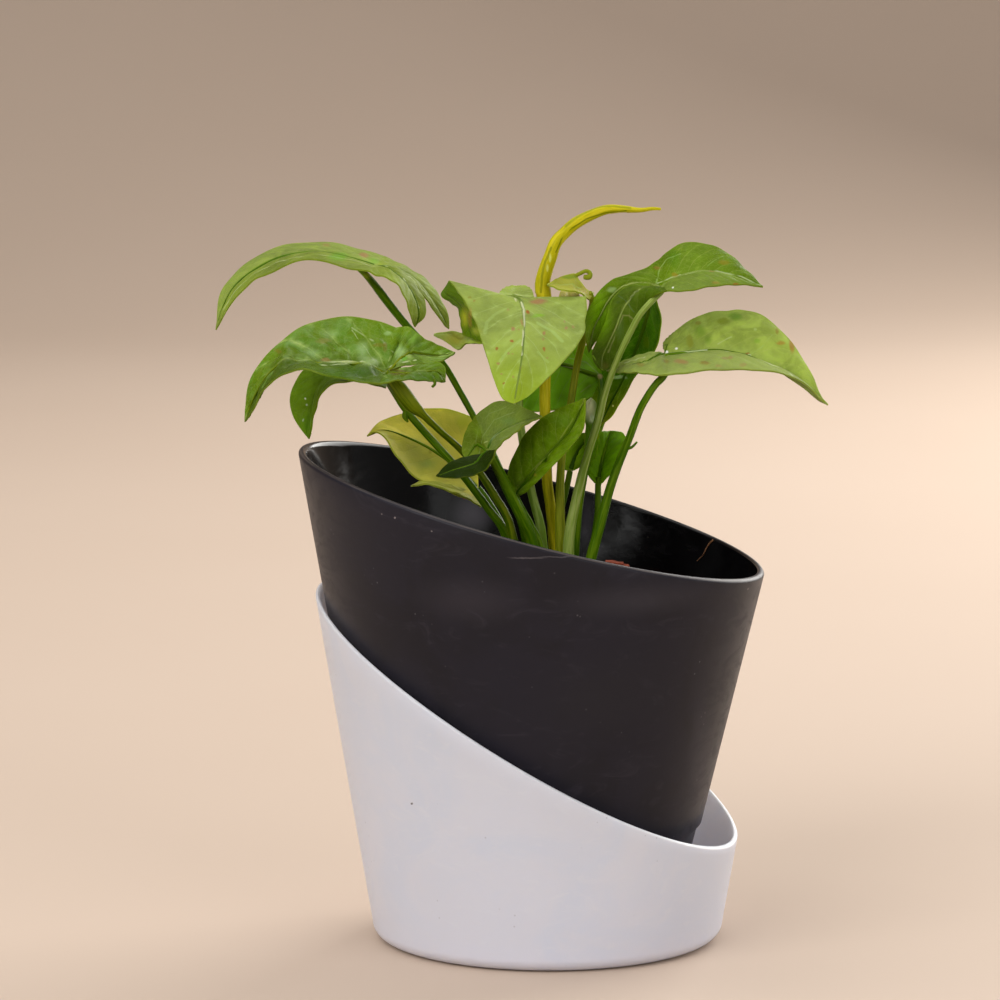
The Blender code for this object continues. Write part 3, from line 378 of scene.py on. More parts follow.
def plastic_look(name, colour, roughness, shine, rim_plane, tints, marks=(), glow=0.0):
    """Moulded plastic with cloudy handling marks, fine pits and a painted highlight line along its rim.

    The tints are those of the clouds, the streaks, the pits and the painted rim highlight.
    """
    look = Look(name)
    place = look.place()
    clouds = look.noise(place, 34.0, 4.0, 0.55, 1.2)
    drawn = look.vector("MULTIPLY", place, (34.0, 34.0, 80.0))
    streaks = look.noise(drawn, 2.0, 6.0, 0.62, 1.6)
    pits = look.steps(look.cells(place, 330.0), 0.0, 0.14, 1.0, 0.0)
    pits = look.times(pits, look.steps(look.noise(place, 80.0, 1.0), 0.58, 0.66))
    # Painted highlight: a thin lighter ring on the rounded rim just under its top, where light catches it.
    height = look.vector("DOT_PRODUCT", place, rim_plane[0])
    rim = look.times(look.steps(height, rim_plane[1] - 0.6 * MM, rim_plane[1] - 0.35 * MM),
                    look.steps(height, rim_plane[1] - 0.2 * MM, rim_plane[1] - 0.05 * MM, 1.0, 0.0))
    rim = look.times(rim, look.steps(clouds, 0.3, 0.6, 0.4, 1.0))
    tone = look.mix(look.steps(clouds, 0.38, 0.68), colour, tints[0])
    tone = look.mix(look.steps(streaks, 0.52, 0.78, 0.0, 0.7), tone, tints[1])
    tone = look.mix(look.times(pits, 0.6), tone, tints[2])
    # Last tint: the painted rim highlight.
    tone = look.mix(look.times(rim, 0.6), tone, tints[3])
    tone = marked(look, tone, ragged_place(look, 1.0 * MM), marks)
    rough = look.plus(look.steps(streaks, 0.42, 0.75, -0.04, 0.08), roughness)
    look.set(Base_Color=tone, Roughness=rough, Specular_IOR_Level=shine)
    if glow:
        look.set(Subsurface_Weight=glow, Subsurface_Radius=(1.0, 0.95, 0.9), Subsurface_Scale=7.0 * MM)
    fine = look.plus(look.noise(place, 900.0, 2.0), look.times(clouds, 2.0))
    look.bump(fine, 0.04 * MM, 0.3)
    return look


def soil_look():
    look = Look("potting_soil")
    place = look.place()
    grain = look.noise(place, 420.0, 5.0, 0.65)
    lumps = look.split(look.cells(place, 300.0, out="Color"))[0]
    tone = look.mix(look.steps(grain, 0.35, 0.7), srgb(20, 15, 11), srgb(70, 52, 38))
    tone = look.mix(look.steps(lumps, 0.78, 0.95, 0.0, 0.7), tone, srgb(112, 86, 58))
    look.set(Base_Color=tone, Roughness=look.steps(grain, 0.3, 0.8, 0.85, 1.0))
    look.bump(grain, 0.6 * MM, 0.8)
    return look


def clay_look():
    look = Look("red_clay")
    place = look.place()
    grain = look.noise(place, 700.0, 5.0, 0.7)
    soot = look.noise(place, 180.0, 3.0)
    tone = look.mix(look.steps(grain, 0.3, 0.7), srgb(128, 52, 32), srgb(178, 86, 58))
    tone = look.mix(look.steps(soot, 0.55, 0.7, 0.0, 0.5), tone, srgb(70, 45, 34))
    look.set(Base_Color=tone, Roughness=0.9)
    look.bump(grain, 0.3 * MM, 0.7)
    return look


def root_look():
    look = Look("dry_root")
    fibres = look.noise(look.place(), 1500.0, 3.0)
    tone = look.mix(look.steps(fibres, 0.35, 0.65), srgb(84, 50, 28), srgb(138, 92, 56))
    look.set(Base_Color=tone, Roughness=0.8)
    look.bump(fibres, 0.1 * MM, 0.6)
    return look


def side_veins(look, style, place, side, along):
    """How far each point is between two side veins, 0 on a vein; they sweep toward the tip."""
    reach = look.math("ABSOLUTE", side)
    wobble = look.times(look.math("SUBTRACT", look.noise(place, 110.0, 2.0), 0.5), 0.45)
    slope = look.times(look.math("POWER", reach, VEIN_BEND), style.sweep)
    swept = look.math("SUBTRACT", along, slope)
    shift = look.steps(side, -0.001, 0.001, 0.0, VEIN_SHIFT)
    count = look.plus(look.times(swept, style.veins), shift)
    count = look.plus(count, wobble)
    turned_back = look.math("FRACT", look.plus(count, 0.5))
    return look.math("ABSOLUTE", look.math("SUBTRACT", turned_back, 0.5))


def blade_look(name, green, style, marks, strokes, under=False):
    """Leaf skin with a midrib, side veins, a fine net of veins, mottling, painted shade, soft lines and
    marks.
    """
    look = Look(name)
    place = look.place()
    side, along, _ = look.split(look.map("leaf"))
    across_mm, along_mm, _ = look.split(look.map("size"))
    painted_shade, haze, _ = look.split(look.map("tone"))
    reach = look.math("ABSOLUTE", side)
    saw = side_veins(look, style, place, side, along)
    laterals = look.steps(saw, 0.0, 0.05, 1.0, 0.0)
    laterals = look.times(laterals, look.steps(reach, 0.7, 0.95, 1.0, 0.0))
    distance = look.math("DIVIDE", look.math("ABSOLUTE", across_mm),
                         look.steps(along, 0.0, 1.0, style.midrib, 0.2))
    midrib = look.steps(distance, 0.5, 1.2, 1.0, 0.0)
    flat = look.join(across_mm, along_mm)
    bent = look.node("ShaderNodeTexNoise", {"Vector": flat, "Scale": 0.5}).outputs["Color"]
    warped = look.vector("ADD", flat, look.vector("MULTIPLY", bent, (1.6, 1.6, 0.0)))
    net = look.steps(look.cells(warped, 0.7, "DISTANCE_TO_EDGE"), 0.0, 0.08, 1.0, 0.0)
    broad = look.noise(place, 55.0, 3.0, 0.55, 0.6)
    blotch = look.noise(place, 150.0, 4.0, 0.6, 0.8)
    speckle = look.noise(place, 420.0, 4.0, 0.65, 0.3)
    tone = look.mix(look.steps(broad, 0.34, 0.66), tinted(green, -0.22), tinted(green, 0.18))
    tone = look.mix(look.steps(blotch, 0.4, 0.7, 0.0, style.patch), tone, style.patch_tone)
    tone = look.mix(look.steps(along, 0.5, 1.0, 0.0, style.tip_share), tone, style.tip)
    near_vein = look.math("MAXIMUM", look.steps(saw, 0.02, 0.2, 1.0, 0.0),
                          look.steps(distance, 1.0, 6.0, 1.0, 0.0))
    streaks = look.times(look.steps(blotch, 0.45, 0.7), look.plus(near_vein, 0.3))
    tone = look.mix(look.times(streaks, style.mottle, True), tone, style.vein)
    tone = look.mix(look.times(net, style.net), tone, style.vein)
    tone = look.mix(haze, tone, style.haze)
    tone = look.mix(look.times(laterals, style.lateral), tone, style.vein)
    tone = look.mix(look.times(midrib, style.rib), tone, style.vein)
    # Painted shade: blades and halves that lie in shadow are darkened toward the style's shade colour, as
    # much as the tone map says.
    tone = look.mix(painted_shade, tone, style.painted_shade)
    tone = look.mix(look.steps(reach, 0.96, 1.0, 0.0, style.rim), tone, style.edge)
    tone = stroked(look, tone, ragged_place(look, 0.5 * MM), strokes)
    tone = marked(look, tone, ragged_place(look, 1.2 * MM), marks)
    rough = look.plus(look.steps(speckle, 0.3, 0.7, -0.05, 0.08), style.roughness + 0.12 * under)
    look.set(Base_Color=tone, Roughness=rough, Specular_IOR_Level=style.shine, Subsurface_Weight=style.glow,
             Subsurface_Radius=LEAF_GLOW, Subsurface_Scale=LEAF_GLOW_DEPTH)
    relief = look.plus(look.times(laterals, 0.6), look.times(midrib, 1.2))
    relief = look.plus(relief, look.times(net, 0.35))
    relief = look.times(relief, 1.0 if under else -1.0)
    fine = look.plus(look.times(look.cells(place, 2600.0), 0.25),
                     look.times(speckle, 0.6))
    look.bump(look.plus(relief, fine), 0.12 * MM, 0.7)
    return look


def stalk_look(name, pale, dark, marks, strokes):
    """Juicy leaf stalk with lengthwise streaks and darker stretches."""
    look = Look(name)
    place = look.place()
    turn, along, _ = look.split(look.map("size"))
    angle = look.times(turn, math.tau)
    drawn = look.times(along, 0.05)
    wound = look.join(look.math("COSINE", angle), look.math("SINE", angle), drawn)
    streaks = look.noise(wound, 1.6, 4.0, 0.6)
    blotch = look.noise(place, 55.0, 3.0)
    tone = look.mix(look.steps(streaks, 0.36, 0.64), dark, pale)
    tone = look.mix(look.steps(blotch, 0.4, 0.7, 0.0, 0.5), tone, tinted(dark, -0.25))
    ragged = ragged_place(look, 0.5 * MM)
    tone = marked(look, stroked(look, tone, ragged, strokes), ragged, marks)
    look.set(Base_Color=tone, Roughness=look.steps(streaks, 0.3, 0.7, 0.3, 0.42), Specular_IOR_Level=0.06,
             Subsurface_Weight=0.2, Subsurface_Radius=LEAF_GLOW, Subsurface_Scale=LEAF_GLOW_DEPTH)
    look.bump(look.plus(streaks, look.times(look.noise(place, 1200.0, 2.0), 0.2)),
              0.12 * MM, 0.5)
    return look


# Mesh pieces

def new_object(name, data):
    item = bpy.data.objects.new(name, data)
    bpy.context.scene.collection.objects.link(item)
    return item


def built_object(name, build):
    """New object from a bmesh, which is freed."""
    mesh = bpy.data.meshes.new(name)
    build.to_mesh(mesh)
    build.free()
    return new_object(name, mesh)


def apply_modifiers(item):
    bpy.context.view_layer.update()
    graph = bpy.context.evaluated_depsgraph_get()
    mesh = bpy.data.meshes.new_from_object(item.evaluated_get(graph))
    item.modifiers.clear()
    item.data = mesh


def finish_piece(item, node, looks, angle=50.0):
    """Gives a piece its materials and its place in the frame, in place of one CAD node."""
    for look in looks:
        item.data.materials.append(look.material)
    item.data.shade_smooth()
    item.data.set_sharp_from_angle(angle=math.radians(angle))
    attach(item, "root")
    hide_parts(node)


class Seen:
    """Search of an object's faces along lines of sight; finds belong to the face's material."""

    def __init__(self, item):
        mesh = item.data
        self.slots = [face.material_index for face in mesh.polygons]
        self.tree = BVHTree.FromPolygons([vertex.co.copy() for vertex in mesh.vertices],
                                         [tuple(face.vertices) for face in mesh.polygons])

    def find(self, column, row):
        """First place on the line of sight through column and row, and its material's number."""
        ahead = (sight_place((column, row, 0.0)) - SIGHT_EYE).normalized()
        place, _, face, _ = self.tree.ray_cast(SIGHT_EYE, ahead)
        return place, None if place is None else self.slots[face]

    def marks(self, marks, slot):
        """Those of the marks, given by column, row, half sizes, colour and strength, on one material."""
        found = []
        for column, row, wide, tall, colour, strength in marks:
            place, hit = self.find(column, row)
            if hit == slot:
                found.append((place, wide * SIGHT_STEP, tall * SIGHT_STEP, srgb(*colour), strength))
        return found

    def strokes(self, strokes, slot):
        """Those of the lines, given by spots, half width, colour and strength, on one material."""
        found = []
        for line, wide, colour, strength in strokes:
            places = [self.find(column, row) for column, row in line]
            places = [place for place, hit in places if hit == slot]
            if len(places) > 1:
                found.append((places, wide * SIGHT_STEP, srgb(*colour), strength))
        return found


def turned(name, profile, steps):
    """Profile of (radius, height), axis first and down its outer side last, turned round Z."""
    mesh = bpy.data.meshes.new(name)
    points = [(radius, 0.0, height) for radius, height in profile]
    mesh.from_pydata(points, [(i, i + 1) for i in range(len(points) - 1)], [])
    body = new_object(name, mesh)
    screw = body.modifiers.new("turn", "SCREW")
    screw.steps = steps
    screw.render_steps = steps
    screw.use_merge_vertices = True
    screw.merge_threshold = 0.00001
    apply_modifiers(body)
    return body


def slant(item, start, level_rim, radius_at, lean_at, plane):
    """Raise and lower the wall above start so that its rim, level before, lies in the slanted plane."""
    base, slope_x, slope_y = plane
    taper = radius_at(1.0) - radius_at(0.0)
    lean = lean_at(1.0) - lean_at(0.0)
    for vertex in item.data.vertices:
        x, y, z = vertex.co
        inset = radius_at(z) - math.hypot(x, y)
        turn = math.atan2(y, x)
        if z > start:
            share = (z - start) / (level_rim - start)
            slope = slope_x * math.cos(turn) + slope_y * math.sin(turn)
            run = share * (taper * slope + lean * slope_x)
            offset = (radius_at(0.0) - inset) * slope + lean_at(0.0) * slope_x
            z = (start + share * (base - start + offset)) / (1.0 - run)
        radius = max(radius_at(z) - inset, 0.0)
        if math.hypot(x, y) < 1e-7:
            radius = 0.0
        vertex.co = (lean_at(z) + radius * math.cos(turn), radius * math.sin(turn), z)


def arc(centre, radius, start, end, steps):
    """Points on an arc in the profile plane, angles in degrees from +radius."""
    turns = [math.radians(start + (end - start) * i / steps) for i in range(steps + 1)]
    return [(centre[0] + radius * math.cos(t), centre[1] + radius * math.sin(t)) for t in turns]


def between(start, end, count):
    """Points between two profile points, without the ends."""
    return [(start[0] + (end[0] - start[0]) * i / count, start[1] + (end[1] - start[1]) * i / count)
            for i in range(1, count)]


def combine(item, operation, others):
    """Apply one Boolean with all the others, then remove them."""
    operands = bpy.data.collections.new("operands")
    for other in others:
        operands.objects.link(other)
    step = item.modifiers.new("combine", "BOOLEAN")
    step.operation = operation
    step.operand_type = "COLLECTION"
    step.collection = operands
    step.solver = "EXACT"
    apply_modifiers(item)
    for other in others:
        bpy.data.objects.remove(other, do_unlink=True)
    bpy.data.collections.remove(operands)


def upright_cylinder(x, y, bottom, top, radius, sides):
    build = bmesh.new()
    bmesh.ops.create_cone(build, cap_ends=True, cap_tris=False, segments=sides,
                          radius1=radius, radius2=radius, depth=top - bottom)
    bmesh.ops.translate(build, verts=build.verts, vec=(x, y, (top + bottom) / 2.0))
    return built_object("cylinder", build)


def cylinder_ring(middle, circle, count, first, bottom, top, radius, sides):
    """Upright cylinders evenly round a circle; the first is turned by a share of the step between two."""
    turns = [math.tau * (index + first) / count for index in range(count)]
    return [upright_cylinder(middle + circle * math.cos(turn), circle * math.sin(turn), bottom, top,
                             radius, sides) for turn in turns]


def over_rim(inner, outer, radius, height, half, count):
    """Profile from a point up the inside, over a round rim and down the outside to a point."""
    return (between(inner, (radius - half, height), count) + arc((radius, height), half, 180.0, 0.0, 12)
            + between((radius + half, height), outer, count))


# Planter

def vessel_radius(height):
    return VESSEL_RADIUS_LOW + VESSEL_TAPER * (height - VESSEL_FILLET_HEIGHT)


def make_vessel():
    """Pale outer vessel with a rounded foot and a smooth slanted rim."""
    fillet = VESSEL_RADIUS_LOW - VESSEL_FLAT_RADIUS
    half_rim = VESSEL_WALL_RIM / 2.0
    inner_low = VESSEL_FILLET_HEIGHT + 1.5 * MM
    rim_radius = vessel_radius(VESSEL_RIM_HEIGHT) - half_rim
    rim_height = VESSEL_RIM_HEIGHT - half_rim
    inner_foot = (vessel_radius(inner_low) - VESSEL_WALL_LOW, inner_low)
    outer_foot = (vessel_radius(inner_low), inner_low)
    profile = [(0.0, VESSEL_FLOOR), (VESSEL_FLAT_RADIUS - 3.0 * MM, VESSEL_FLOOR),
               (VESSEL_FLAT_RADIUS - 0.5 * MM, VESSEL_FLOOR + 1.2 * MM), inner_foot]
    profile += over_rim(inner_foot, outer_foot, rim_radius, rim_height, half_rim, 12)
    profile += [outer_foot]
    profile += [(VESSEL_FLAT_RADIUS + fillet * math.cos(math.radians(a)),
                 VESSEL_FILLET_HEIGHT * (1.0 + math.sin(math.radians(a)))) for a in range(-8, -91, -9)]
    profile += [(VESSEL_FLAT_RADIUS, 0.0), (0.0, 0.0)]
    vessel = turned("outer_vessel_fine", profile, TURN_STEPS)
    slant(vessel, inner_low, VESSEL_RIM_HEIGHT, vessel_radius, lambda height: 0.0,
          (VESSEL_RIM_HEIGHT, VESSEL_RIM_SLOPE_X, VESSEL_RIM_SLOPE_Y))
    plane = ((-VESSEL_RIM_SLOPE_X, -VESSEL_RIM_SLOPE_Y, 1.0), VESSEL_RIM_HEIGHT)
    tints = (srgb(207, 211, 228), srgb(216, 217, 229), srgb(150, 148, 158), srgb(226, 226, 236))
    look = plastic_look("pale_plastic", srgb(212, 213, 227), 0.42, 0.4, plane, tints,
                        Seen(vessel).marks(VESSEL_MARKS, 0), 0.85)
    finish_piece(vessel, "outer_vessel", [look], 35.0)


def pot_radius(height):
    return POT_STEP_RADIUS + POT_TAPER * (height - POT_STEP_HEIGHT)


def pot_axis(height):
    return POT_AXIS_AT_STEP + POT_LEAN * (height - POT_STEP_HEIGHT)


def make_pot():
    """Black inner pot with its feet and drain holes and a rounded slanted rim."""
    floor_top = POT_FLOOR_UNDER + POT_FLOOR
    half_rim = POT_WALL_RIM / 2.0
    step_top = POT_STEP_HEIGHT + 1.5 * MM
    curve_top = floor_top + 2.0 * MM
    inner_foot = pot_radius(curve_top) - POT_STEP_DEPTH - POT_WALL_LOW
    outer_foot = pot_radius(POT_FLOOR_UNDER) - POT_STEP_DEPTH
    rim_radius = pot_radius(POT_RIM_HEIGHT) - half_rim
    rim_height = POT_RIM_HEIGHT - half_rim
    inner_step = (pot_radius(step_top) - POT_STEP_DEPTH - POT_WALL_LOW, step_top)
    outer_step = (pot_radius(step_top), step_top)
    profile = [(0.0, floor_top), (inner_foot - 2.0 * MM, floor_top), (inner_foot, curve_top), inner_step]
    profile += over_rim(inner_step, outer_step, rim_radius, rim_height, half_rim, 16)
    profile += [outer_step, (pot_radius(POT_STEP_HEIGHT) - POT_STEP_DEPTH, POT_STEP_HEIGHT),
                (outer_foot, POT_FLOOR_UNDER + 2.0 * MM), (outer_foot - 2.0 * MM, POT_FLOOR_UNDER),
                (0.0, POT_FLOOR_UNDER)]
    pot = turned("inner_pot_fine", profile, TURN_STEPS)
    slant(pot, step_top, POT_RIM_HEIGHT, pot_radius, pot_axis, (POT_RIM_HEIGHT, POT_RIM_SLOPE_X, 0.0))
    middle = pot_axis(POT_FLOOR_UNDER)
    combine(pot, "UNION", cylinder_ring(middle, POT_FOOT_CIRCLE, POT_FOOT_COUNT, 0.5, POT_FOOT_BOTTOM,
                                        POT_FLOOR_UNDER + POT_FLOOR / 2.0, POT_FOOT_RADIUS, 32))
    hole_top = floor_top + 5.0 * MM
    holes = [upright_cylinder(middle, 0.0, 0.0, hole_top, DRAIN_RADIUS, 24)]
    holes += cylinder_ring(middle, DRAIN_CIRCLE, DRAIN_COUNT, 0.0, 0.0, hole_top, DRAIN_RADIUS, 24)
    combine(pot, "DIFFERENCE", holes)
    plane = ((-POT_RIM_SLOPE_X, 0.0, 1.0), POT_RIM_HEIGHT)
    seen = Seen(pot)
    outside = plastic_look("black_plastic", srgb(31, 29, 37), 0.42, 0.16, plane,
                           (srgb(28, 26, 32), srgb(46, 43, 50), srgb(100, 96, 100), srgb(92, 84, 80)),
                           seen.marks(POT_MARKS_AND_PAINTED_LIGHT, 0))
    # Inner wall: the same plastic, glossier, with a near-black colour that is painted shade.
    inside = plastic_look("black_plastic_inside", srgb(7, 6, 7), 0.16, 0.12, plane,
                          (srgb(13, 12, 13), srgb(20, 18, 21), srgb(60, 56, 58), srgb(36, 34, 35)),
                          seen.marks(POT_INSIDE_REFLECTIONS_AND_SPECK, 0))
    finish_piece(pot, "inner_pot", [outside, inside], 35.0)
    # Faces that look inward above the floor get the inner look with its painted shade.
    for face in pot.data.polygons:
        x, y, z = face.center
        out = Vector((x - pot_axis(z), y, 0.0))
        face.material_index = int(z > floor_top and face.normal.dot(out.normalized()) < -0.2)
    return pot


# Soil

def soil_top(x, y):
    """Height of the uneven soil surface."""
    swell = SOIL_ROUGHNESS * math.sin(x * 240.0 + 1.0) * math.cos(y * 310.0 + 0.5)
    lumps = noise.fractal(Vector((x, y, 0.0)) * 260.0, 0.8, 2.2, 4) * 0.7 * MM
    return SOIL_HEIGHT + swell + lumps - 0.3 * MM


def make_soil():
    """Soil with an uneven top and loose crumbs lying on it."""
    floor = POT_FLOOR_UNDER + POT_FLOOR + 0.3 * MM
    inset = POT_STEP_DEPTH + POT_WALL_LOW + 0.3 * MM
    side = SOIL_HEIGHT - 1.5 * MM
    edge = pot_radius(side) - inset
    profile = [(edge * (i / SOIL_RINGS) ** 0.9, SOIL_HEIGHT) for i in range(SOIL_RINGS)]
    profile += [(edge, side), (pot_radius(floor + 3.0 * MM) - inset, floor + 3.0 * MM),
                (pot_radius(floor) - inset - 3.5 * MM, floor), (0.0, floor)]
    soil = turned("soil_fine", profile, SOIL_STEPS)
    for vertex in soil.data.vertices:
        x, y, z = vertex.co
        x = x + pot_axis(z)
        if z > SOIL_HEIGHT - 0.1 * MM:
            z = soil_top(x, y)
        vertex.co = (x, y, z)
    build = bmesh.new()
    build.from_mesh(soil.data)
    random.seed(11)
    pattern = bmesh.new()
    bmesh.ops.create_icosphere(pattern, subdivisions=1, radius=1.0)
    corners = [vertex.co.copy() for vertex in pattern.verts]
    faces = [[vertex.index for vertex in face.verts] for face in pattern.faces]
    pattern.free()
    for _ in range(CRUMB_COUNT):
        reach = (edge - 3.0 * MM) * math.sqrt(random.random())
        turn = random.uniform(0.0, math.tau)
        x = pot_axis(side) + reach * math.cos(turn)
        y = reach * math.sin(turn)
        radius = random.uniform(0.4, 1.3) * MM
        middle = Vector((x, y, soil_top(x, y) + radius * 0.25))
        stretch = (random.uniform(0.7, 1.5), random.uniform(0.7, 1.3), random.uniform(0.5, 0.8))
        made = []
        for corner in corners:
            jitter = radius * (1.0 + 0.35 * noise.noise(corner * 0.9 + middle * 500.0))
            made.append(build.verts.new(middle + Vector(a * b for a, b in zip(corner, stretch)) * jitter))
        for face in faces:
            build.faces.new([made[index] for index in face])
    build.to_mesh(soil.data)
    build.free()
    finish_piece(soil, "soil", [soil_look()], 70.0)


def make_root(pot):
    """Dry root that clings to the inner wall of the pot near its low side."""
    seen = Seen(pot)
    places = [seen.find(column, row)[0] for column, row in ROOT_SIGHTS]
    lifted = [place + (SIGHT_EYE - place).normalized() * 0.25 * MM for place in places]
    path = smooth_path(lifted, ROOT_RINGS)
    radii = [ROOT_RADIUS - ROOT_THINNING * index / (ROOT_RINGS - 1) for index in range(ROOT_RINGS)]
    root = tube_object("dry_root", path, radii, 0)
    root.data.materials.append(root_look().material)
    root.data.shade_smooth()
    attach(root, "root")


def make_clay_chip():
    """Broken bit of red clay with worn edges and a rough face."""
    low, high = (Vector(corner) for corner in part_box("clay_chip"))
    middle = (low + high) / 2.0
    half = (high - low) / 2.0
    build = bmesh.new()
    bmesh.ops.create_cube(build, size=2.0)
    bmesh.ops.bevel(build, geom=build.edges, offset=0.36, segments=2, affect="EDGES")
    bmesh.ops.subdivide_edges(build, edges=build.edges, cuts=5, use_grid_fill=True)
    bmesh.ops.triangulate(build, faces=build.faces)
    for vertex in build.verts:
        x, y, z = vertex.co
        rough = 0.93 + 0.07 * noise.fractal(vertex.co * 2.2, 0.7, 2.1, 4)
        shaped = Vector((x * (1.0 - 0.125 * z) / 1.1, y * (1.0 + 0.075 * x) / 1.06,
                         z * (1.0 - 0.175 * x) / 1.15))
        vertex.co = middle + Vector(a * b for a, b in zip(shaped, half)) * rough
    finish_piece(built_object("clay_chip_fine", build), "clay_chip", [clay_look()], 70.0)


# Leaves

class Blade:
    """Leaf surface between two edges, or two edges and a midrib, as lists of sight points."""

    def __init__(self, left, right, mid=None, bulge=0.0):
        self.left = left
        self.right = right
        self.mid = mid
        self.bulge = bulge * MM


class Stalk:
    """Round stem through sight points, with a radius in millimetres at each end or at each point."""

    def __init__(self, points, radii):
        self.points = points
        self.radii = radii


class Leaf:
    """One leaf with its stalk, whose foot stands at (x, toward) millimetres in the soil."""

    def __init__(self, name, blades, stalk, foot, extras=()):
        self.name = name
        self.blades = blades
        self.stalk = stalk
        self.foot = foot
        self.extras = extras


class Style:
    """Colours, vein pattern, relief and marks of one leaf; lengths are in millimetres.

    Tones: painted shade and haze of a blade's left and right half, by its group and place in the group.
    Marks: column, row, half width, half height, colour and strength.
    Strokes: line of columns and rows, half width, colour and strength.
    Folds: line of columns and rows, half width and depth, below zero for a raised fold.
    """

    def __init__(self, slot, top, under, **changes):
        self.slot = slot
        self.green = srgb(*top)
        self.under = srgb(*under)
        self.vein = srgb(160, 172, 84)
        self.edge = srgb(112, 128, 24)
        self.tip = srgb(140, 165, 20)
        self.pale = srgb(96, 124, 14)
        self.dark = srgb(54, 90, 0)
        self.patch = 0.35
        self.patch_tone = tinted(self.green, 0.8)
        # Colour of the painted shade on blades that lie in shadow.
        self.painted_shade = tinted(self.green, -0.7)
        self.haze = srgb(138, 152, 84)
        self.tip_share = 0.0
        self.veins = 7.0
        self.sweep = 0.24
        self.midrib = 0.75
        self.lateral = 0.4
        self.rib = 0.8
        self.rim = 0.5
        self.net = 0.12
        self.mottle = 0.12
        self.roughness = 0.4
        self.shine = 0.03
        self.glow = 0.2
        self.quilt = 0.35
        self.ripple = 0.15
        self.waves = 5.0
        self.undulation = 0.5
        self.crinkle = 0.0
        self.upward = (0.0, -0.35, 1.0)
        self.tones = {}
        self.marks = ()
        self.strokes = ()
        self.folds = ()
        self.seam = 0.0
        self.ridge = 0.9
        for key, value in changes.items():
            setattr(self, key, value)


def upper_left_leaf():
    """Long leaf arching to the upper left, seen nearly along its edge, with two hanging lobes."""
    joint = (376, 266, -12)
    far_start = (385, 257, -26)
    near_start = (368, 271, 1)
    tip = (216, 330, -14)
    mid = [joint, (350, 258, -13), (317, 252, -14), (283, 256, -15), (258, 267, -16), (236, 284, -16),
           (223, 306, -15), tip]
    far = [far_start, (361, 250, -27), (337, 244, -28), (304, 243, -28), (273, 249, -27), (251, 261, -25),
           (231, 278, -21), (220, 297, -18), tip]
    near = [near_start, (352, 269, 2), (333, 264, 1), (308, 259, -1), (285, 266, -3), (266, 275, -6),
            (250, 283, -9), (229, 307, -13), tip]
    near_lobe = Blade([joint, (395, 268, -10), (412, 281, -8), (424, 300, -6), (425, 315, -4),
                       (415, 327, -2)],
                      [near_start, (376, 275, 2), (384, 277, 2), (397, 284, 3), (406, 300, 3),
                       (411, 317, 1), (415, 327, -2)])
    far_lobe = Blade([joint, (392, 268, -14), (411, 281, -16), (428, 302, -18), (440, 319, -19),
                      (449, 329, -20)],
                     [far_start, (404, 266, -27), (425, 279, -27), (438, 295, -25), (448, 316, -22),
                      (449, 329, -20)])
    stalk = Stalk([(353, 263, -8), (361, 270, -5), (367, 276, -6), (373, 283, -9), (380, 292, -11),
                   (393, 309, -12), (407, 326, -12), (425, 345, -11), (444, 365, -11), (460, 392, -10),
                   (474, 417, -9), (487, 441, -7), (500, 470, -4), (513, 500, -2), (524, 530, -1)],
                  [0.8, 1.3, 1.1, 1.0, 1.0, 1.2, 1.4, 1.5])
    return Leaf("leaf_upper_left", [[Blade(far, near, mid), near_lobe, far_lobe]], stalk, (-4.5, -1.0))


def left_front_leaf():
    """Large creased leaf on the left, tilted to the viewer, with its tip bent down."""
    joint = (385, 373, 25)
    far_start = (396, 328, 12)
    near_start = (380, 384, 38)
    tip = (245, 422, 22)
    mid = [joint, (368, 366, 26), (350, 362, 27), (324, 363, 28), (300, 362, 28), (284, 361, 28),
           (268, 374, 27), (256, 392, 25), (249, 408, 23), tip]
    far = [far_start, (376, 321, 12), (350, 317, 13), (319, 321, 14), (292, 333, 16), (264, 359, 18),
           (251, 378, 20), (246, 402, 21), tip]
    near = [near_start, (370, 383, 39), (350, 380, 40), (326, 375, 40), (308, 370, 39), (296, 370, 37),
            (281, 376, 34), (264, 389, 30), (257, 403, 26), tip]
    near_lobe = Blade([joint, (400, 369, 27), (420, 365, 28), (438, 362, 28), (445, 369, 28),
                       (445, 382, 29)],
                      [near_start, (402, 380, 37), (426, 381, 35), (438, 382, 32), (445, 382, 29)])
    far_lobe = Blade([joint, (400, 367, 23), (420, 364, 20), (442, 361, 17), (455, 352, 14)],
                     [far_start, (408, 327, 12), (425, 339, 12), (450, 350, 13), (455, 352, 14)])
    stalk = Stalk([joint, (389, 377, 25), (396, 385, 25), (404, 395, 25), (412, 405, 24), (420, 412, 22),
                   (440, 431, 16), (460, 449, 10), (478, 470, 8), (496, 498, 8), (510, 525, 8)],
                  [1.4, 2.4, 2.3, 1.1, 0.95, 0.95, 1.0, 1.0, 1.1, 1.2, 1.2, 1.3, 1.4, 1.5, 1.5])
    curl = Stalk([(434, 380, 33), (435, 384, 34), (432, 387, 34)], [0.5, 0.4])
    return Leaf("leaf_left_front", [[Blade(far, near, mid, bulge=0.6), near_lobe, far_lobe]], stalk,
                (-7.0, 7.5), [curl])


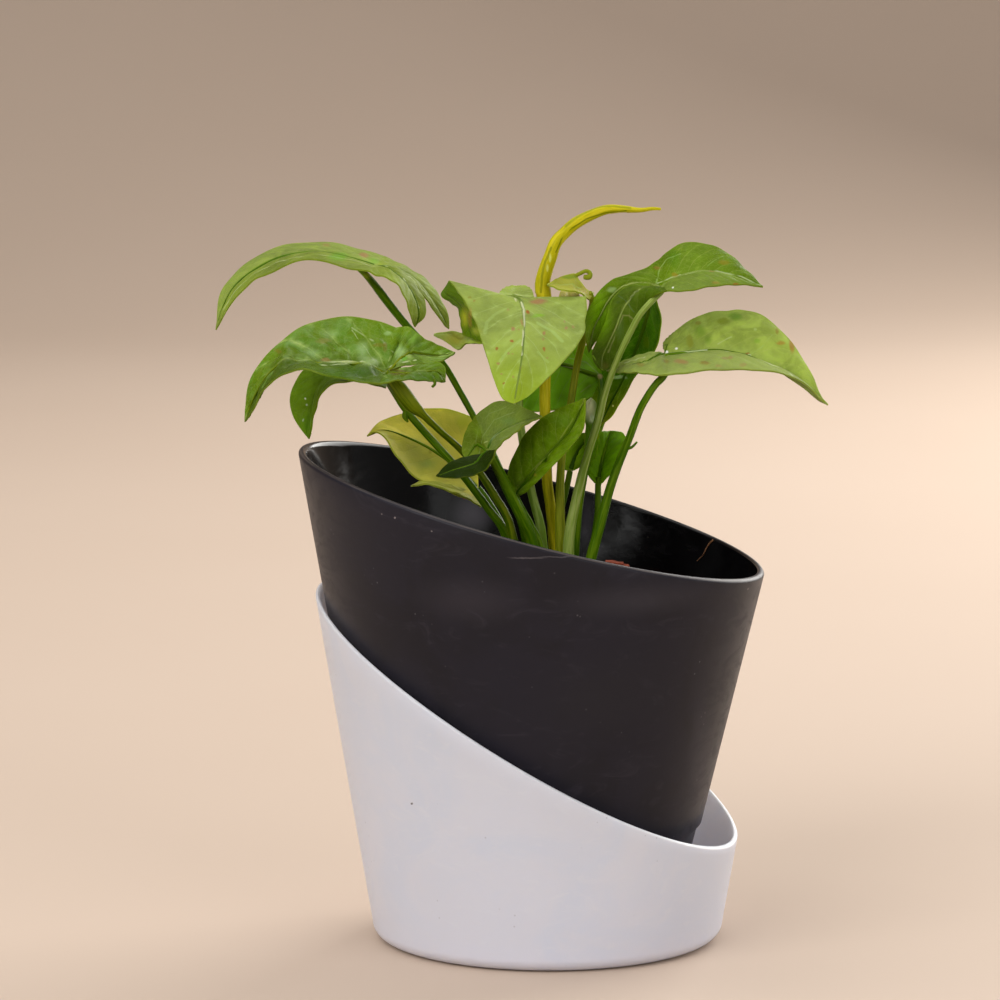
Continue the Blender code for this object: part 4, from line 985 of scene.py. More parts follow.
def left_hanging_leaf():
    """Dark leaf under the large left one, reaching left and then hanging straight down."""
    joint = (388, 381, 12)
    far_start = (382, 370, 1)
    tip = (309, 439, 8)
    mid = [joint, (370, 378, 11), (350, 376, 10), (335, 376, 9), (324, 380, 9), (317, 389, 8),
           (313, 403, 8), (311, 420, 8), tip]
    far = [far_start, (365, 364, -1), (345, 361, -2), (320, 363, -2), (303, 371, -1), (295, 384, 1),
           (290, 400, 3), (293, 415, 5), (301, 429, 7), tip]
    near = [(386, 388, 20), (376, 385, 22), (358, 381, 23), (343, 382, 22), (331, 385, 20),
            (323, 391, 18.5), (318, 401, 16), (314, 415, 12), (311, 429, 10), tip]
    far_lobe = Blade([joint, (396, 378, 8), (404, 370, 3)], [far_start, (395, 366, 0), (404, 370, 3)])
    stalk = Stalk([joint, (395, 393, 13), (406, 410, 13), (420, 427, 13), (440, 449, 12), (456, 467, 11),
                   (472, 487, 8), (489, 510, 5), (505, 534, 3.5)],
                  [1.1, 1.1, 1.2, 1.6])
    scale = Stalk([(406, 411, 13), (405, 417, 14), (408, 422, 14)], [0.9, 0.9, 0.3])
    return Leaf("leaf_left_hanging", [[Blade(far, near, mid), far_lobe]], stalk, (-8.5, 3.0), [scale])


def centre_front_leaf():
    """Broad leaf arching to the viewer and hanging over the middle, its left edge folded behind."""
    joint = (514, 298, -3)
    left_start = (449, 281, -6)
    right_start = (586, 297, -4)
    tip = (514, 404, 36)
    mid = [joint, (520, 301, 3), (524, 315, 13), (524, 336, 22), (522, 357, 29), (518, 380, 34), tip]
    left = [left_start, (461, 296, 3), (468, 308, 9), (476, 324, 16), (482, 342, 22), (488, 361, 27),
            (494, 380, 31), (502, 398, 35), tip]
    right = [right_start, (587, 310, 2), (585, 321, 7), (585, 331, 12), (578, 344, 19), (565, 360, 25),
             (550, 376, 30), (530, 395, 34), tip]
    fold = Blade([left_start, (441, 294, -6), (450, 302, -3), (458, 308, 0), (461, 322, 5), (463, 335, 9)],
                 [(451, 283, -5), (461, 296, 3), (468, 308, 9), (476, 324, 16), (482, 342, 22)])
    flap = Blade([(434, 334, 2), (452, 331, 5), (462, 333, 8), (475, 335, 14), (484, 339, 20)],
                 [(434, 336, 2), (446, 342, 5), (458, 350, 9), (466, 344, 12), (484, 344, 21)])
    near_back = Blade([(499, 295, -3.4), (501, 291, -9), (508, 287, -15), (518, 286, -18)],
                      [(534, 298, -3), (532, 291, -9), (527, 287, -15), (518, 286, -18)])
    side_back = Blade([(558, 299, -4), (560, 293, -10), (563, 290, -15), (569, 289.5, -18)],
                      [(580, 299, -4), (579, 294, -10), (576, 290.5, -15), (569, 289.5, -18)])
    stalk = Stalk([(514, 298, -3), (514, 304, -8), (517, 325, -11), (518, 350, -11), (519, 400, -9),
                   (522, 436, -6), (531, 490, -1), (541, 530, 2)],
                  [1.2, 1.2, 1.3, 1.5])
    return Leaf("leaf_centre_front", [[Blade(left, right, mid, bulge=0.8)], [fold], [flap], [near_back],
                                      [side_back]], stalk, (-0.5, 2.0))


def low_left_leaf():
    """Broad pale leaf low on the left, just inside the pot's high side."""
    joint = (478, 488, -4)
    tip = (367, 436, 0)
    mid = [joint, (455, 466, -4), (430, 448, -4), (400, 434, -3), (382, 430, -2), tip]
    far = [(478, 424, -14), (469, 416, -15), (446, 409, -16), (422, 409, -15), (405, 413, -13),
           (386, 419, -9), (377, 424, -6), tip]
    near = [(470, 500, 3), (449, 492, 6), (430, 484, 7), (419, 480, 6), (410, 472, 6), (398, 458, 5),
            (391, 447, 4), (381, 434, 2), (373, 432, 1), tip]
    strip = Blade([(476, 492, -3), (450, 485, 4), (430, 481, 7), (419, 481, 8), (411, 486, 9)],
                  [(481, 507, 1), (463, 496, 5), (449, 491, 8), (436, 486, 9), (424, 484, 9),
                   (411, 486, 9)])
    stalk = Stalk([joint, (487, 500, -3.5), (500, 522, -3), (510, 545, -2.5)], [1.0, 1.2, 1.4])
    return Leaf("leaf_low_left", [[Blade(far, near, mid, bulge=1.2)], [strip]], stalk, (-9.5, -2.0))


def middle_left_leaf():
    """Small leaf in front of the left stalks, pointing right, with a dark near lobe."""
    joint = (488, 451, 22)
    far_start = (476, 416, 12)
    near_start = (496, 450, 28)
    tip = (542, 416, 25)
    mid = [joint, (493, 439, 20), (504, 430, 20), (522, 423, 22), tip]
    far = [far_start, (485, 408, 12), (494, 403, 12), (503, 401, 13), (514, 404, 16), (526, 409, 20), tip]
    near = [near_start, (504, 441, 29), (515, 433, 29), (525, 425, 28), (535, 420, 26), tip]
    far_lobe = Blade([joint, (482, 455, 19.5), (474, 459, 18.5), (466, 460, 18)],
                     [far_start, (468, 427, 12), (463, 440, 14), (462, 452, 16.5), (466, 460, 18)])
    near_lobe = Blade([joint, (477, 455, 22), (466, 457, 22), (453, 461, 23), (445, 466, 24.5),
                       (436, 476, 26)],
                      [near_start, (491, 463, 29), (484, 471, 29), (472, 476, 28), (458, 478, 27),
                       (447, 478, 27), (436, 476, 26)])
    stalk = Stalk([joint, (493, 460, 21), (501, 475, 19), (511, 496, 16), (523, 520, 13),
                   (532, 543, 10.5)],
                  [1.3, 1.6, 1.7, 1.7, 1.7])
    return Leaf("leaf_middle_left", [[Blade(far, near, mid, bulge=0.5), far_lobe, near_lobe]], stalk,
                (-3.0, 9.5))


def low_centre_leaf():
    """Leaf standing up low in the middle, its face to the viewer."""
    base = (515, 497, 10.5)
    tip = (585, 398, 21)
    mid = [base, (533, 473, 15), (552, 451, 17), (570, 430, 19), tip]
    left = [(511, 492, 10.5), (508, 480, 9.5), (509, 468, 10), (514, 456, 11), (520, 443, 12),
            (528, 431, 14), (542, 418, 16), (560, 408, 18), tip]
    right = [(520, 495, 12), (526, 492, 15), (535, 484, 18), (545, 474, 19), (556, 463, 20),
             (570, 448, 21), (582, 432, 22), (585, 420, 22), tip]
    stalk = Stalk([base, (520, 507, 9), (530, 525, 7.5), (539, 545, 6.5)], [1.2, 1.3, 1.4])
    return Leaf("leaf_low_centre", [[Blade(left, right, mid, bulge=0.6)]], stalk, (0.5, 6.5))


def rolled_leaf():
    """Newest leaf, still rolled into a spear that bends over to the right."""
    spear = [(661, 209, -16), (652, 208.5, -16), (640, 210, -15), (622, 209, -14), (606, 210, -13),
             (590, 216, -12), (575, 224, -11), (564, 234, -11), (556, 243, -10), (551, 256, -10),
             (547, 267, -10), (543, 281, -10), (543.5, 293, -10)]
    stem = [(545, 320, -9.5), (545, 360, -9), (545, 415, -7), (547, 478, -4), (552, 520, -3)]
    radii = [0.4, 0.8, 1.5, 1.8, 1.9, 2.0, 2.2, 2.5, 2.0, 1.75, 1.7, 1.7, 1.7, 1.65, 1.6, 1.6, 1.55, 1.5,
             1.5]
    return Leaf("leaf_rolled", [], Stalk(spear + stem, radii), (2.5, -2.5))


def opening_leaf():
    """Young yellow-green leaf just opening beside the rolled one, with a curled thread at its end."""
    tip = (547, 284.5, -6.5)
    upper = [(594, 293, -10), (585, 287, -10), (579, 280, -11), (575, 274, -12), (563, 276, -10),
             (554, 280, -7), tip]
    lower = [(589, 300, -7), (580, 293, -4), (570, 291, -2), (561, 290, -2), (553, 287, -4), tip]
    stalk = Stalk([(589, 293, -9), (592, 299, -10), (592, 306, -12), (588, 320, -14.5), (583, 340, -14),
                   (577, 365, -11), (571, 401, -9), (565, 435, -5), (561, 467, -1), (560, 510, 1.5)],
                  [1.0, 1.1, 1.1, 1.2, 1.5, 1.6])
    thread = Stalk([(575, 276, -11.5), (581, 273, -12), (586, 271, -12), (590, 273, -12),
                    (589, 277, -11.5), (584, 277, -11)],
                   [0.6, 0.6, 0.6, 0.7, 0.9, 0.7])
    return Leaf("leaf_opening", [[Blade(upper, lower, bulge=1.0)]], stalk, (4.0, 2.5), [thread])


def upper_right_leaf():
    """Leaf reaching to the upper right, both lobes hanging down past the middle."""
    joint = (664, 287, -5)
    far_start = (659, 260, -16)
    near_start = (667, 291, 5)
    tip = (763, 287, 1)
    mid = [joint, (675, 279, -5), (688, 274, -5), (703, 271, -4), (720, 273, -3), (738, 278, -1),
           (752, 283, 0), tip]
    far = [far_start, (667, 253, -17), (678, 245, -18), (690, 243, -18), (705, 244, -17), (727, 253, -13),
           (747, 271, -6), (757, 281, -2), tip]
    near = [near_start, (676, 291, 6), (689, 291, 7), (702, 288, 7), (716, 286, 6), (729, 285, 5),
            (745, 285, 3), (755, 286, 2), tip]
    far_lobe = Blade([joint, (647, 286, -9), (634, 289, -10), (623, 298, -10), (615, 309, -9.5),
                      (609, 321, -9), (602, 332, -8), (595, 343, -6.5), (589, 353, -5)],
                     [far_start, (646, 268, -16), (631, 274, -15), (614, 279, -13), (600, 290, -10),
                      (590, 306, -8), (584, 320, -7), (585, 333, -6), (589, 353, -5)])
    near_lobe = Blade([joint, (645, 286, -4), (629, 286, -4), (615, 296, -4), (609, 309, -4),
                       (605, 322, -4), (597, 340, -3.5), (592, 353, -3), (595, 364, -2.5), (603, 371, -2)],
                      [near_start, (656, 295, 2), (646, 305, -1), (637, 319, -2.5), (629, 335, -3),
                       (620, 352, -3), (611, 366, -2.5), (603, 371, -2)])
    stalk = Stalk([(666, 285, -4.5), (660, 293, -2), (649, 304, 1.5), (639, 316, 2), (631, 331, 2),
                   (622, 349, 2), (613, 370, 2), (605, 394, 3), (598, 422, 4), (590, 447, 5.5),
                   (583, 470, 6.5), (575, 505, 6.5), (569, 540, 6.5)],
                  [0.95, 0.95, 0.95, 1.0, 1.1, 1.4, 1.7, 1.7])
    return Leaf("leaf_upper_right", [[Blade(far, near, mid, bulge=0.8), far_lobe, near_lobe]], stalk,
                (6.0, 6.5))


def right_leaf():
    """Large pale leaf reaching right, its long tip drooping and one lobe pointing back to the middle."""
    joint = (665, 355, -2)
    far_start = (676, 331, -11)
    near_start = (668, 375, 14)
    tip = (828, 405, 10)
    mid = [joint, (680, 353, 1), (700, 351, 3), (717, 350, 4), (731, 352, 5), (749, 356, 6), (766, 364, 7),
           (784, 373, 8), (805, 387, 9), tip]
    far = [far_start, (690, 321, -12), (702, 315, -12), (713, 312, -12), (727, 312, -11), (740, 310, -10),
           (760, 315, -7), (780, 330, -3), (798, 352, 2), (811, 374, 6), (819, 392, 8), tip]
    near = [near_start, (695, 372, 16), (713, 370, 17), (731, 370, 17), (749, 370, 17), (765, 371, 16),
            (790, 376, 14), (811, 389, 12), (820, 398, 11), tip]
    far_lobe = Blade([joint, (664.5, 352, -5), (663.5, 348.5, -8), (663, 345, -11)],
                     [far_start, (670, 336, -13), (665, 341, -13), (663, 345, -11)])
    near_lobe = Blade([joint, (660, 352, -1), (652, 352.5, -1), (640, 355, -2), (627, 360, -3),
                       (617, 364, -5), (606, 371, -6)],
                      [near_start, (654, 375, 13), (638, 373, 9), (622, 373, 3), (612, 372, -2),
                       (606, 371, -6)])
    stalk = Stalk([(667, 356, -1.5), (667, 368, 1.5), (663, 377, 3), (656, 384, 4), (647, 397, 3.5),
                   (639, 412, 3), (630, 436, 2.5), (617, 468, 2), (608, 495, 2), (600, 525, 2),
                   (593, 550, 2)],
                  [1.1, 1.1, 1.2, 1.4, 1.6, 1.7])
    spur = Stalk([(626, 449, 2.5), (632, 447, 3), (637, 442, 4)], [0.5, 0.4, 0.3])
    return Leaf("leaf_right", [[Blade(far, near, mid, bulge=1.0), far_lobe, near_lobe]], stalk,
                (10.5, 2.0), [spur])


def low_right_leaf():
    """Small dark leaf low on the right, folded behind the right stalk, its left half standing up."""
    base = (598, 486, -4)
    tip = (611, 431, -14)
    mid = [base, (601, 465, -6), (606, 446, -9), tip]
    left = [(594, 482, -4), (586, 472, -5), (585, 462, -6), (590, 448, -8), (598, 434, -11), tip]
    right = [(603, 482, -4), (614, 470, -3), (622, 455, -5), (627, 442, -8), (622, 433, -12), tip]
    upright = Blade([(590, 468, -5), (585, 452, -6), (585, 437, -7), (586, 425, -7.5), (583, 413, -8),
                     (585, 404, -8.5), (591, 398, -9)],
                    [(597, 450, -6.5), (599, 438, -8.5), (600, 428, -9), (600, 419, -8.8),
                     (598, 409, -8.8), (596, 402, -9), (591, 398, -9)])
    stalk = Stalk([(599, 477, -4.5), (598, 486, -4.5), (598, 510, -4), (595, 535, -4)],
                  [0.9, 1.0, 1.1, 1.2])
    return Leaf("leaf_low_right", [[Blade(left, right, mid, bulge=0.5)], [upright]], stalk, (12.0, -3.5))


def low_inner_leaf():
    """Small dark leaf low behind the middle stalks."""
    base = (570, 471, -9)
    tip = (591, 433, -13)
    mid = [base, (577, 452, -11), (585, 441, -12), tip]
    left = [(566, 470, -9), (560, 465, -10), (559, 455, -12), (566, 442, -13), (578, 434, -13), tip]
    right = [(575, 470, -9), (581, 466, -8.5), (587, 455, -10), (592, 443, -12), tip]
    stalk = Stalk([base, (566, 490, -8), (558, 520, -7), (551, 550, -7)], [0.9, 1.1, 1.2])
    return Leaf("leaf_low_inner", [[Blade(left, right, mid, bulge=0.5)]], stalk, (-1.0, -6.5))


def right_hanging_leaf():
    """Long dark leaf hanging behind the right side, light showing through its lower half."""
    joint = (652, 297, -14)
    tip = (600, 426, -15)
    mid = [joint, (648, 315, -17), (638, 345, -20), (625, 375, -21), (611, 402, -19), tip]
    left = [(642, 296, -18), (628, 315, -22), (613, 340, -24), (598, 368, -23), (588, 390, -21),
            (584, 408, -18), (589, 420, -16), tip]
    right = [(656, 299, -10), (661, 320, -11), (660, 332, -13), (655, 350, -14), (647, 362, -15),
             (637, 374, -15), (628, 388, -15), (620, 403, -15), (611, 416, -15), tip]
    stalk = Stalk([(651, 301, -15.5), (648, 308, -20), (638, 330, -27), (625, 365, -29), (606, 410, -25),
                   (590, 455, -17), (576, 500, -11), (566, 540, -8)],
                  [1.0, 1.1, 1.2, 1.5])
    return Leaf("leaf_right_hanging", [[Blade(left, right, mid, bulge=0.6)]], stalk, (4.0, -7.0))


def centre_back_leaf():
    """Dark leaf behind the middle, its pale veins meeting at the right."""
    joint = (601, 377, -15)
    tip = (516, 403, -16)
    mid = [joint, (580, 370, -16), (560, 364, -17), (540, 368, -17), (525, 384, -17), tip]
    upper = [(602, 356, -18), (580, 342, -21), (560, 339, -22), (540, 346, -21), (524, 364, -19),
             (518, 385, -17), tip]
    lower = [(592, 397, -12), (575, 404, -12), (560, 409, -12), (545, 411, -13), (530, 411, -14), tip]
    stalk = Stalk([(599, 376, -15), (602, 384, -12), (600, 408, -5), (595, 430, -2), (588, 455, -1),
                   (583, 480, -1), (578, 515, -2)],
                  [1.1, 1.2, 1.3])
    return Leaf("leaf_centre_back", [[Blade(upper, lower, mid, bulge=0.8)]], stalk, (7.5, -2.5))


def all_leaves():
    return [upper_left_leaf(), left_front_leaf(), left_hanging_leaf(), centre_front_leaf(),
            low_left_leaf(), middle_left_leaf(), low_centre_leaf(), rolled_leaf(), opening_leaf(),
            upper_right_leaf(), right_leaf(), low_right_leaf(), low_inner_leaf(), right_hanging_leaf(),
            centre_back_leaf()]


def half_rows(start_rail, end_rail, columns, bulge):
    """Rows of points from one rail to the other, raised between them by bulge away from the ends."""
    grid = []
    rows = len(start_rail)
    for row in range(rows):
        start = start_rail[row]
        end = end_rail[row]
        ahead = ahead_at(start_rail, row)
        normal = (end - start).cross(ahead)
        if normal.length > 0.0:
            normal.normalize()
        swell = bulge * min(1.0, 3.0 * row / (rows - 1), 3.0 * (rows - 1 - row) / (rows - 1))
        line = []
        for column in range(columns + 1):
            share = column / columns
            line.append(start.lerp(end, share) + normal * swell * 4.0 * share * (1.0 - share))
        grid.append(line)
    return grid


def grid_normals(lines):
    """Unit normals of a grid of points, from the differences to its neighbours."""
    normals = []
    last_row = len(lines) - 1
    for row, line in enumerate(lines):
        found = []
        for column in range(len(line)):
            across = ahead_at(line, column)
            ahead = lines[min(row + 1, last_row)][column] - lines[max(row - 1, 0)][column]
            normal = across.cross(ahead)
            found.append(normal.normalized() if normal.length > 1e-12 else Vector((0.0, 0.0, 0.0)))
        normals.append(found)
    return normals


def blade_lines(blade):
    """Grid of a blade's points, and the column of its vein in each row."""
    guide = [sight_place(p) for p in (blade.mid or blade.left)]
    edge = [sight_place(p) for p in blade.right]
    length = max(path_length(smooth_path(guide, 60)), path_length(smooth_path(edge, 60)))
    rows = max(int(length / MM * BLADE_ROWS_PER_MM), 8)
    left = smooth_path([sight_place(p) for p in blade.left], rows)
    right = smooth_path([sight_place(p) for p in blade.right], rows)
    if blade.mid:
        mid = smooth_path(guide, rows)
        first = half_rows(mid, left, BLADE_COLUMNS, -blade.bulge)
        second = half_rows(mid, right, BLADE_COLUMNS, blade.bulge)
        lines = [list(reversed(a))[:-1] + b for a, b in zip(first, second)]
        return lines, [float(BLADE_COLUMNS)] * rows
    lines = half_rows(left, right, BLADE_COLUMNS, blade.bulge)
    centres = [BLADE_COLUMNS * VEIN_START * smooth_step(0.0, 0.35, row / (rows - 1)) for row in range(rows)]
    return lines, centres


def vein_relief(style, side, along, across, place):
    """Height in millimetres of the leaf's top face: puffed between side veins, grooved at the midrib.

    Its puffs, sway and crinkle die away at the leaf's edge; its ripple is strongest there.
    """
    reach = abs(side)
    inside = 1.0 - reach ** 4
    count = (along - style.sweep * reach ** VEIN_BEND) * style.veins + (VEIN_SHIFT if side > 0.0 else 0.0)
    puff = math.sqrt(abs(math.sin(math.pi * count))) - 0.6
    puff *= smooth_step(0.0, 0.15, reach) * smooth_step(1.0, 0.75, reach)
    groove = -GROOVE_DEPTH * math.exp(-(across / GROOVE_WIDTH) ** 2)
    sway = noise.noise(place * 45.0) * style.undulation * inside
    crinkle = (abs(noise.noise(place * 150.0)) - 0.2) * style.crinkle * inside
    wave = math.tau * style.waves * along + (1.3 if side > 0.0 else 0.0)
    ripple = style.ripple * reach ** 3 * math.sin(wave)
    return style.quilt * puff + groove + sway + crinkle + ripple


def fold_relief(folds, place):
    """Height in millimetres from the single creases and raised folds of a leaf."""
    height = 0.0
    spot = sight_grid(place) if folds else None
    for line, width, depth in folds:
        distance = line_distance(spot, line) * SIGHT_STEP / MM
        height -= depth * math.exp(-(distance / width) ** 2)
    return height


def blade_surface(build, maps, blade, style, tones):
    """Faces of one blade's middle surface with its relief and its three maps."""
    lines, centres = blade_lines(blade)
    normals = grid_normals(lines)
    total = Vector((0.0, 0.0, 0.0))
    for found in normals:
        for normal in found:
            total += normal
    facing = 1.0 if total.dot(Vector(style.upward)) >= 0.0 else -1.0
    folds = [([Vector(spot) for spot in line], width, depth) for line, width, depth in style.folds]
    last_row = len(lines) - 1
    last_column = len(lines[0]) - 1
    grid = []
    along_mm = 0.0
    for row, line in enumerate(lines):
        along = row / last_row
        centre = centres[row]
        if row:
            along_mm += (lines[row][int(centre)] - lines[row - 1][int(centre)]).length / MM
        fade = smooth_step(0.0, 0.08, along) * smooth_step(1.0, 0.94, along)
        width = path_length(line) / MM / last_column
        points = []
        for column, place in enumerate(line):
            offset = column - centre
            span = last_column - centre if offset > 0.0 else centre
            side = offset / span if span > 0.0 else 0.0
            across = offset * width
            height = vein_relief(style, side, along, across, place)
            height += fold_relief(folds, place) * (1.0 - abs(side) ** 6)
            point = build.verts.new(place + normals[row][column] * facing * height * fade * MM)
            share = smooth_step(-0.3, 0.3, side)
            # Shares of painted shade and of haze, blended from the left half's tones to the right half's.
            painted_shade = tones[0] + (tones[1] - tones[0]) * share
            haze = tones[2] + (tones[3] - tones[2]) * share
            points.append((point, ((side, along), (across, along_mm), (painted_shade, haze))))
        grid.append(points)
    for row in range(last_row):
        for column in range(last_column):
            corners = [grid[row][column], grid[row][column + 1],
                       grid[row + 1][column + 1], grid[row + 1][column]]
            if facing < 0.0:
                corners.reverse()
            face = build.faces.new([corner[0] for corner in corners])
            for loop, corner in zip(face.loops, corners):
                for layer, values in zip(maps, corner[1]):
                    loop[layer].uv = values
    return [line[int(round(centre))] for line, centre in zip(lines, centres)]


def surface_maps(build):
    """The three maps of a leaf: side and length as shares, both in millimetres, painted shade and haze."""
    return [build.loops.layers.uv.new(name) for name in ("leaf", "size", "tone")]


def blade_mesh(name, group, blades, style):
    """Thin closed blade; its underside has the second material. Also returns its vein lines."""
    build = bmesh.new()
    maps = surface_maps(build)
    veins = []
    for index, blade in enumerate(blades):
        tones = style.tones.get((group, index), PLAIN_TONES)
        veins.append(blade_surface(build, maps, blade, style, tones))
    bmesh.ops.remove_doubles(build, verts=build.verts, dist=MERGE_DISTANCE)
    bmesh.ops.dissolve_degenerate(build, edges=build.edges, dist=MERGE_DISTANCE / 2.0)
    bmesh.ops.recalc_face_normals(build, faces=build.faces)
    total = Vector((0.0, 0.0, 0.0))
    for face in build.faces:
        total += face.normal * face.calc_area()
    if total.dot(Vector(style.upward)) < 0.0:
        bmesh.ops.reverse_faces(build, faces=build.faces)
    item = built_object(name, build)
    for _ in range(3):
        item.data.materials.append(None)
    thicken = item.modifiers.new("thicken", "SOLIDIFY")
    thicken.thickness = BLADE_THICKNESS
    thicken.offset = 0.0
    thicken.use_even_offset = False
    thicken.material_offset = 1
    apply_modifiers(item)
    return item, veins


def tube_object(name, places, radii, slot, seam=None):
    """Round stem through places; seam gives each place's share of a rolled edge that stands out."""
    build = bmesh.new()
    leaf_map, size_map, _ = surface_maps(build)
    rings = []
    aside = None
    along = 0.0
    for index, (place, radius) in enumerate(zip(places, radii)):
        ahead = ahead_at(places, index).normalized()
        if aside is None:
            aside = ahead.orthogonal().normalized()
        aside = (aside - ahead * aside.dot(ahead)).normalized()
        across = ahead.cross(aside)
        if index:
            along += (place - places[index - 1]).length / MM
        ring = []
        for step in range(STALK_SIDES):
            turn = math.tau * step / STALK_SIDES
            reach = radius
            if seam:
                wound = (step / STALK_SIDES + along * SEAM_TURNS_PER_MM) % 1.0
                reach *= 1.0 + seam[index] * (SEAM_LIFT * wound - SEAM_SINK)
            around = Vector((along * 0.25, math.cos(turn), math.sin(turn)))
            bumps = 1.0 + STALK_BUMPS * noise.noise(around)
            point = place + (aside * math.cos(turn) + across * math.sin(turn)) * reach * bumps
            ring.append(build.verts.new(point))
        rings.append((ring, along))
    for (ring, start), (after, end) in zip(rings, rings[1:]):
        for step in range(STALK_SIDES):
            follow = (step + 1) % STALK_SIDES
            face = build.faces.new((ring[step], ring[follow], after[follow], after[step]))
            corners = ((step, start), (step + 1, start), (step + 1, end), (step, end))
            for loop, (turn, height) in zip(face.loops, corners):
                loop[size_map].uv = (turn / STALK_SIDES, height)
                loop[leaf_map].uv = (turn / STALK_SIDES, height / along)
    for ring, flip in ((rings[0][0], True), (rings[-1][0], False)):
        build.faces.new(list(reversed(ring)) if flip else ring)
    bmesh.ops.recalc_face_normals(build, faces=build.faces)
    for face in build.faces:
        face.material_index = slot
    return built_object(name, build)


def spread(values, count):
    """Count values read evenly along a list by straight lines between its entries."""
    result = []
    for step in range(count):
        along = (len(values) - 1) * step / (count - 1)
        index = min(int(along), len(values) - 2)
        share = along - index
        result.append((values[index] * (1.0 - share) + values[index + 1] * share) * MM)
    return result


def stalk_places(leaf):
    """Path of a leaf's stalk from the blade to its foot, upright where it stands in the soil."""
    places = [sight_place(point) for point in leaf.stalk.points]
    x, toward = leaf.foot
    places.append(Vector((x * MM, -toward * MM, SOIL_HEIGHT + 5.0 * MM)))
    count = int(path_length(places) / MM * STALK_RINGS_PER_MM)
    path = smooth_path(places, count)
    radii = spread(leaf.stalk.radii, count)
    path.append(Vector((x * MM, -toward * MM, SOIL_HEIGHT)))
    path.append(Vector((x * MM, -toward * MM, SOIL_HEIGHT - STALK_DEPTH)))
    radii += [radii[-1]] * 2
    return path, radii


def joined(name, pieces):
    """One object from several, all at the origin."""
    build = bmesh.new()
    for piece in pieces:
        build.from_mesh(piece.data)
        bpy.data.objects.remove(piece, do_unlink=True)
    return built_object(name, build)


def vein_ridge(name, places, radius, style):
    """Raised vein along a blade's underside that thins out to its tip."""
    down = -Vector(style.upward).normalized()
    count = len(places)
    radii = [radius * (1.0 - 0.8 * index / (count - 1)) for index in range(count)]
    path = []
    for index, place in enumerate(places):
        ahead = ahead_at(places, index).normalized()
        below = (down - ahead * down.dot(ahead)).normalized()
        path.append(place + below * (radii[index] * 0.35 + 0.1 * MM))
    return tube_object(name, path, radii, STEM_FACES)


def make_leaf(leaf):
    """One leaf with its stalk, raised veins and extras as one piece with three looks."""
    style = STYLES[leaf.name]
    path, radii = stalk_places(leaf)
    seam = None
    if style.seam:
        seam = [style.seam * smooth_step(0.62, 0.5, index / len(path)) for index in range(len(path))]
    pieces = [tube_object(leaf.name + "_stem", path, radii, STEM_FACES, seam)]
    for group, blades in enumerate(leaf.blades):
        item, veins = blade_mesh(f"{leaf.name}_blade_{group}", group, blades, style)
        pieces.append(item)
        for order, (vein, blade) in enumerate(zip(veins, blades)):
            if style.ridge and (blade.mid or len(blades) > 1):
                radius = style.ridge * (1.0 if blade.mid else 0.6) * MM
                pieces.append(vein_ridge(f"{leaf.name}_vein_{group}_{order}", vein[1:-2], radius, style))
    for index, extra in enumerate(leaf.extras):
        curve = [sight_place(p) for p in extra.points]
        count = max(int(path_length(curve) / MM * EXTRA_RINGS_PER_MM), 6)
        pieces.append(tube_object(f"{leaf.name}_extra_{index}", smooth_path(curve, count),
                                  spread(extra.radii, count), STEM_FACES))
    item = joined(leaf.name + "_fine", pieces)
    seen = Seen(item)
    found = [(seen.marks(style.marks, faces), seen.strokes(style.strokes, faces))
             for faces in (TOP_FACES, UNDER_FACES, STEM_FACES)]
    looks = [blade_look(leaf.name + "_top", style.green, style, *found[TOP_FACES]),
             blade_look(leaf.name + "_under", style.under, style, *found[UNDER_FACES], True),
             stalk_look(leaf.name + "_stem", style.pale, style.dark, *found[STEM_FACES])]
    finish_piece(item, leaf.name, looks, 70.0)


# Colours of marks
RUST = (150, 112, 76)
BROWN = (128, 96, 40)
OLIVE = (122, 122, 24)
# Painted shade for the crease at a leaf's foot.
CREAM = (196, 206, 158)
CREASE_SHADE = (40, 72, 4)
# Painted glint: a white dot on the leaf stands in for the bright reflection of a water drop.
DROP_GLINT = (250, 250, 245)

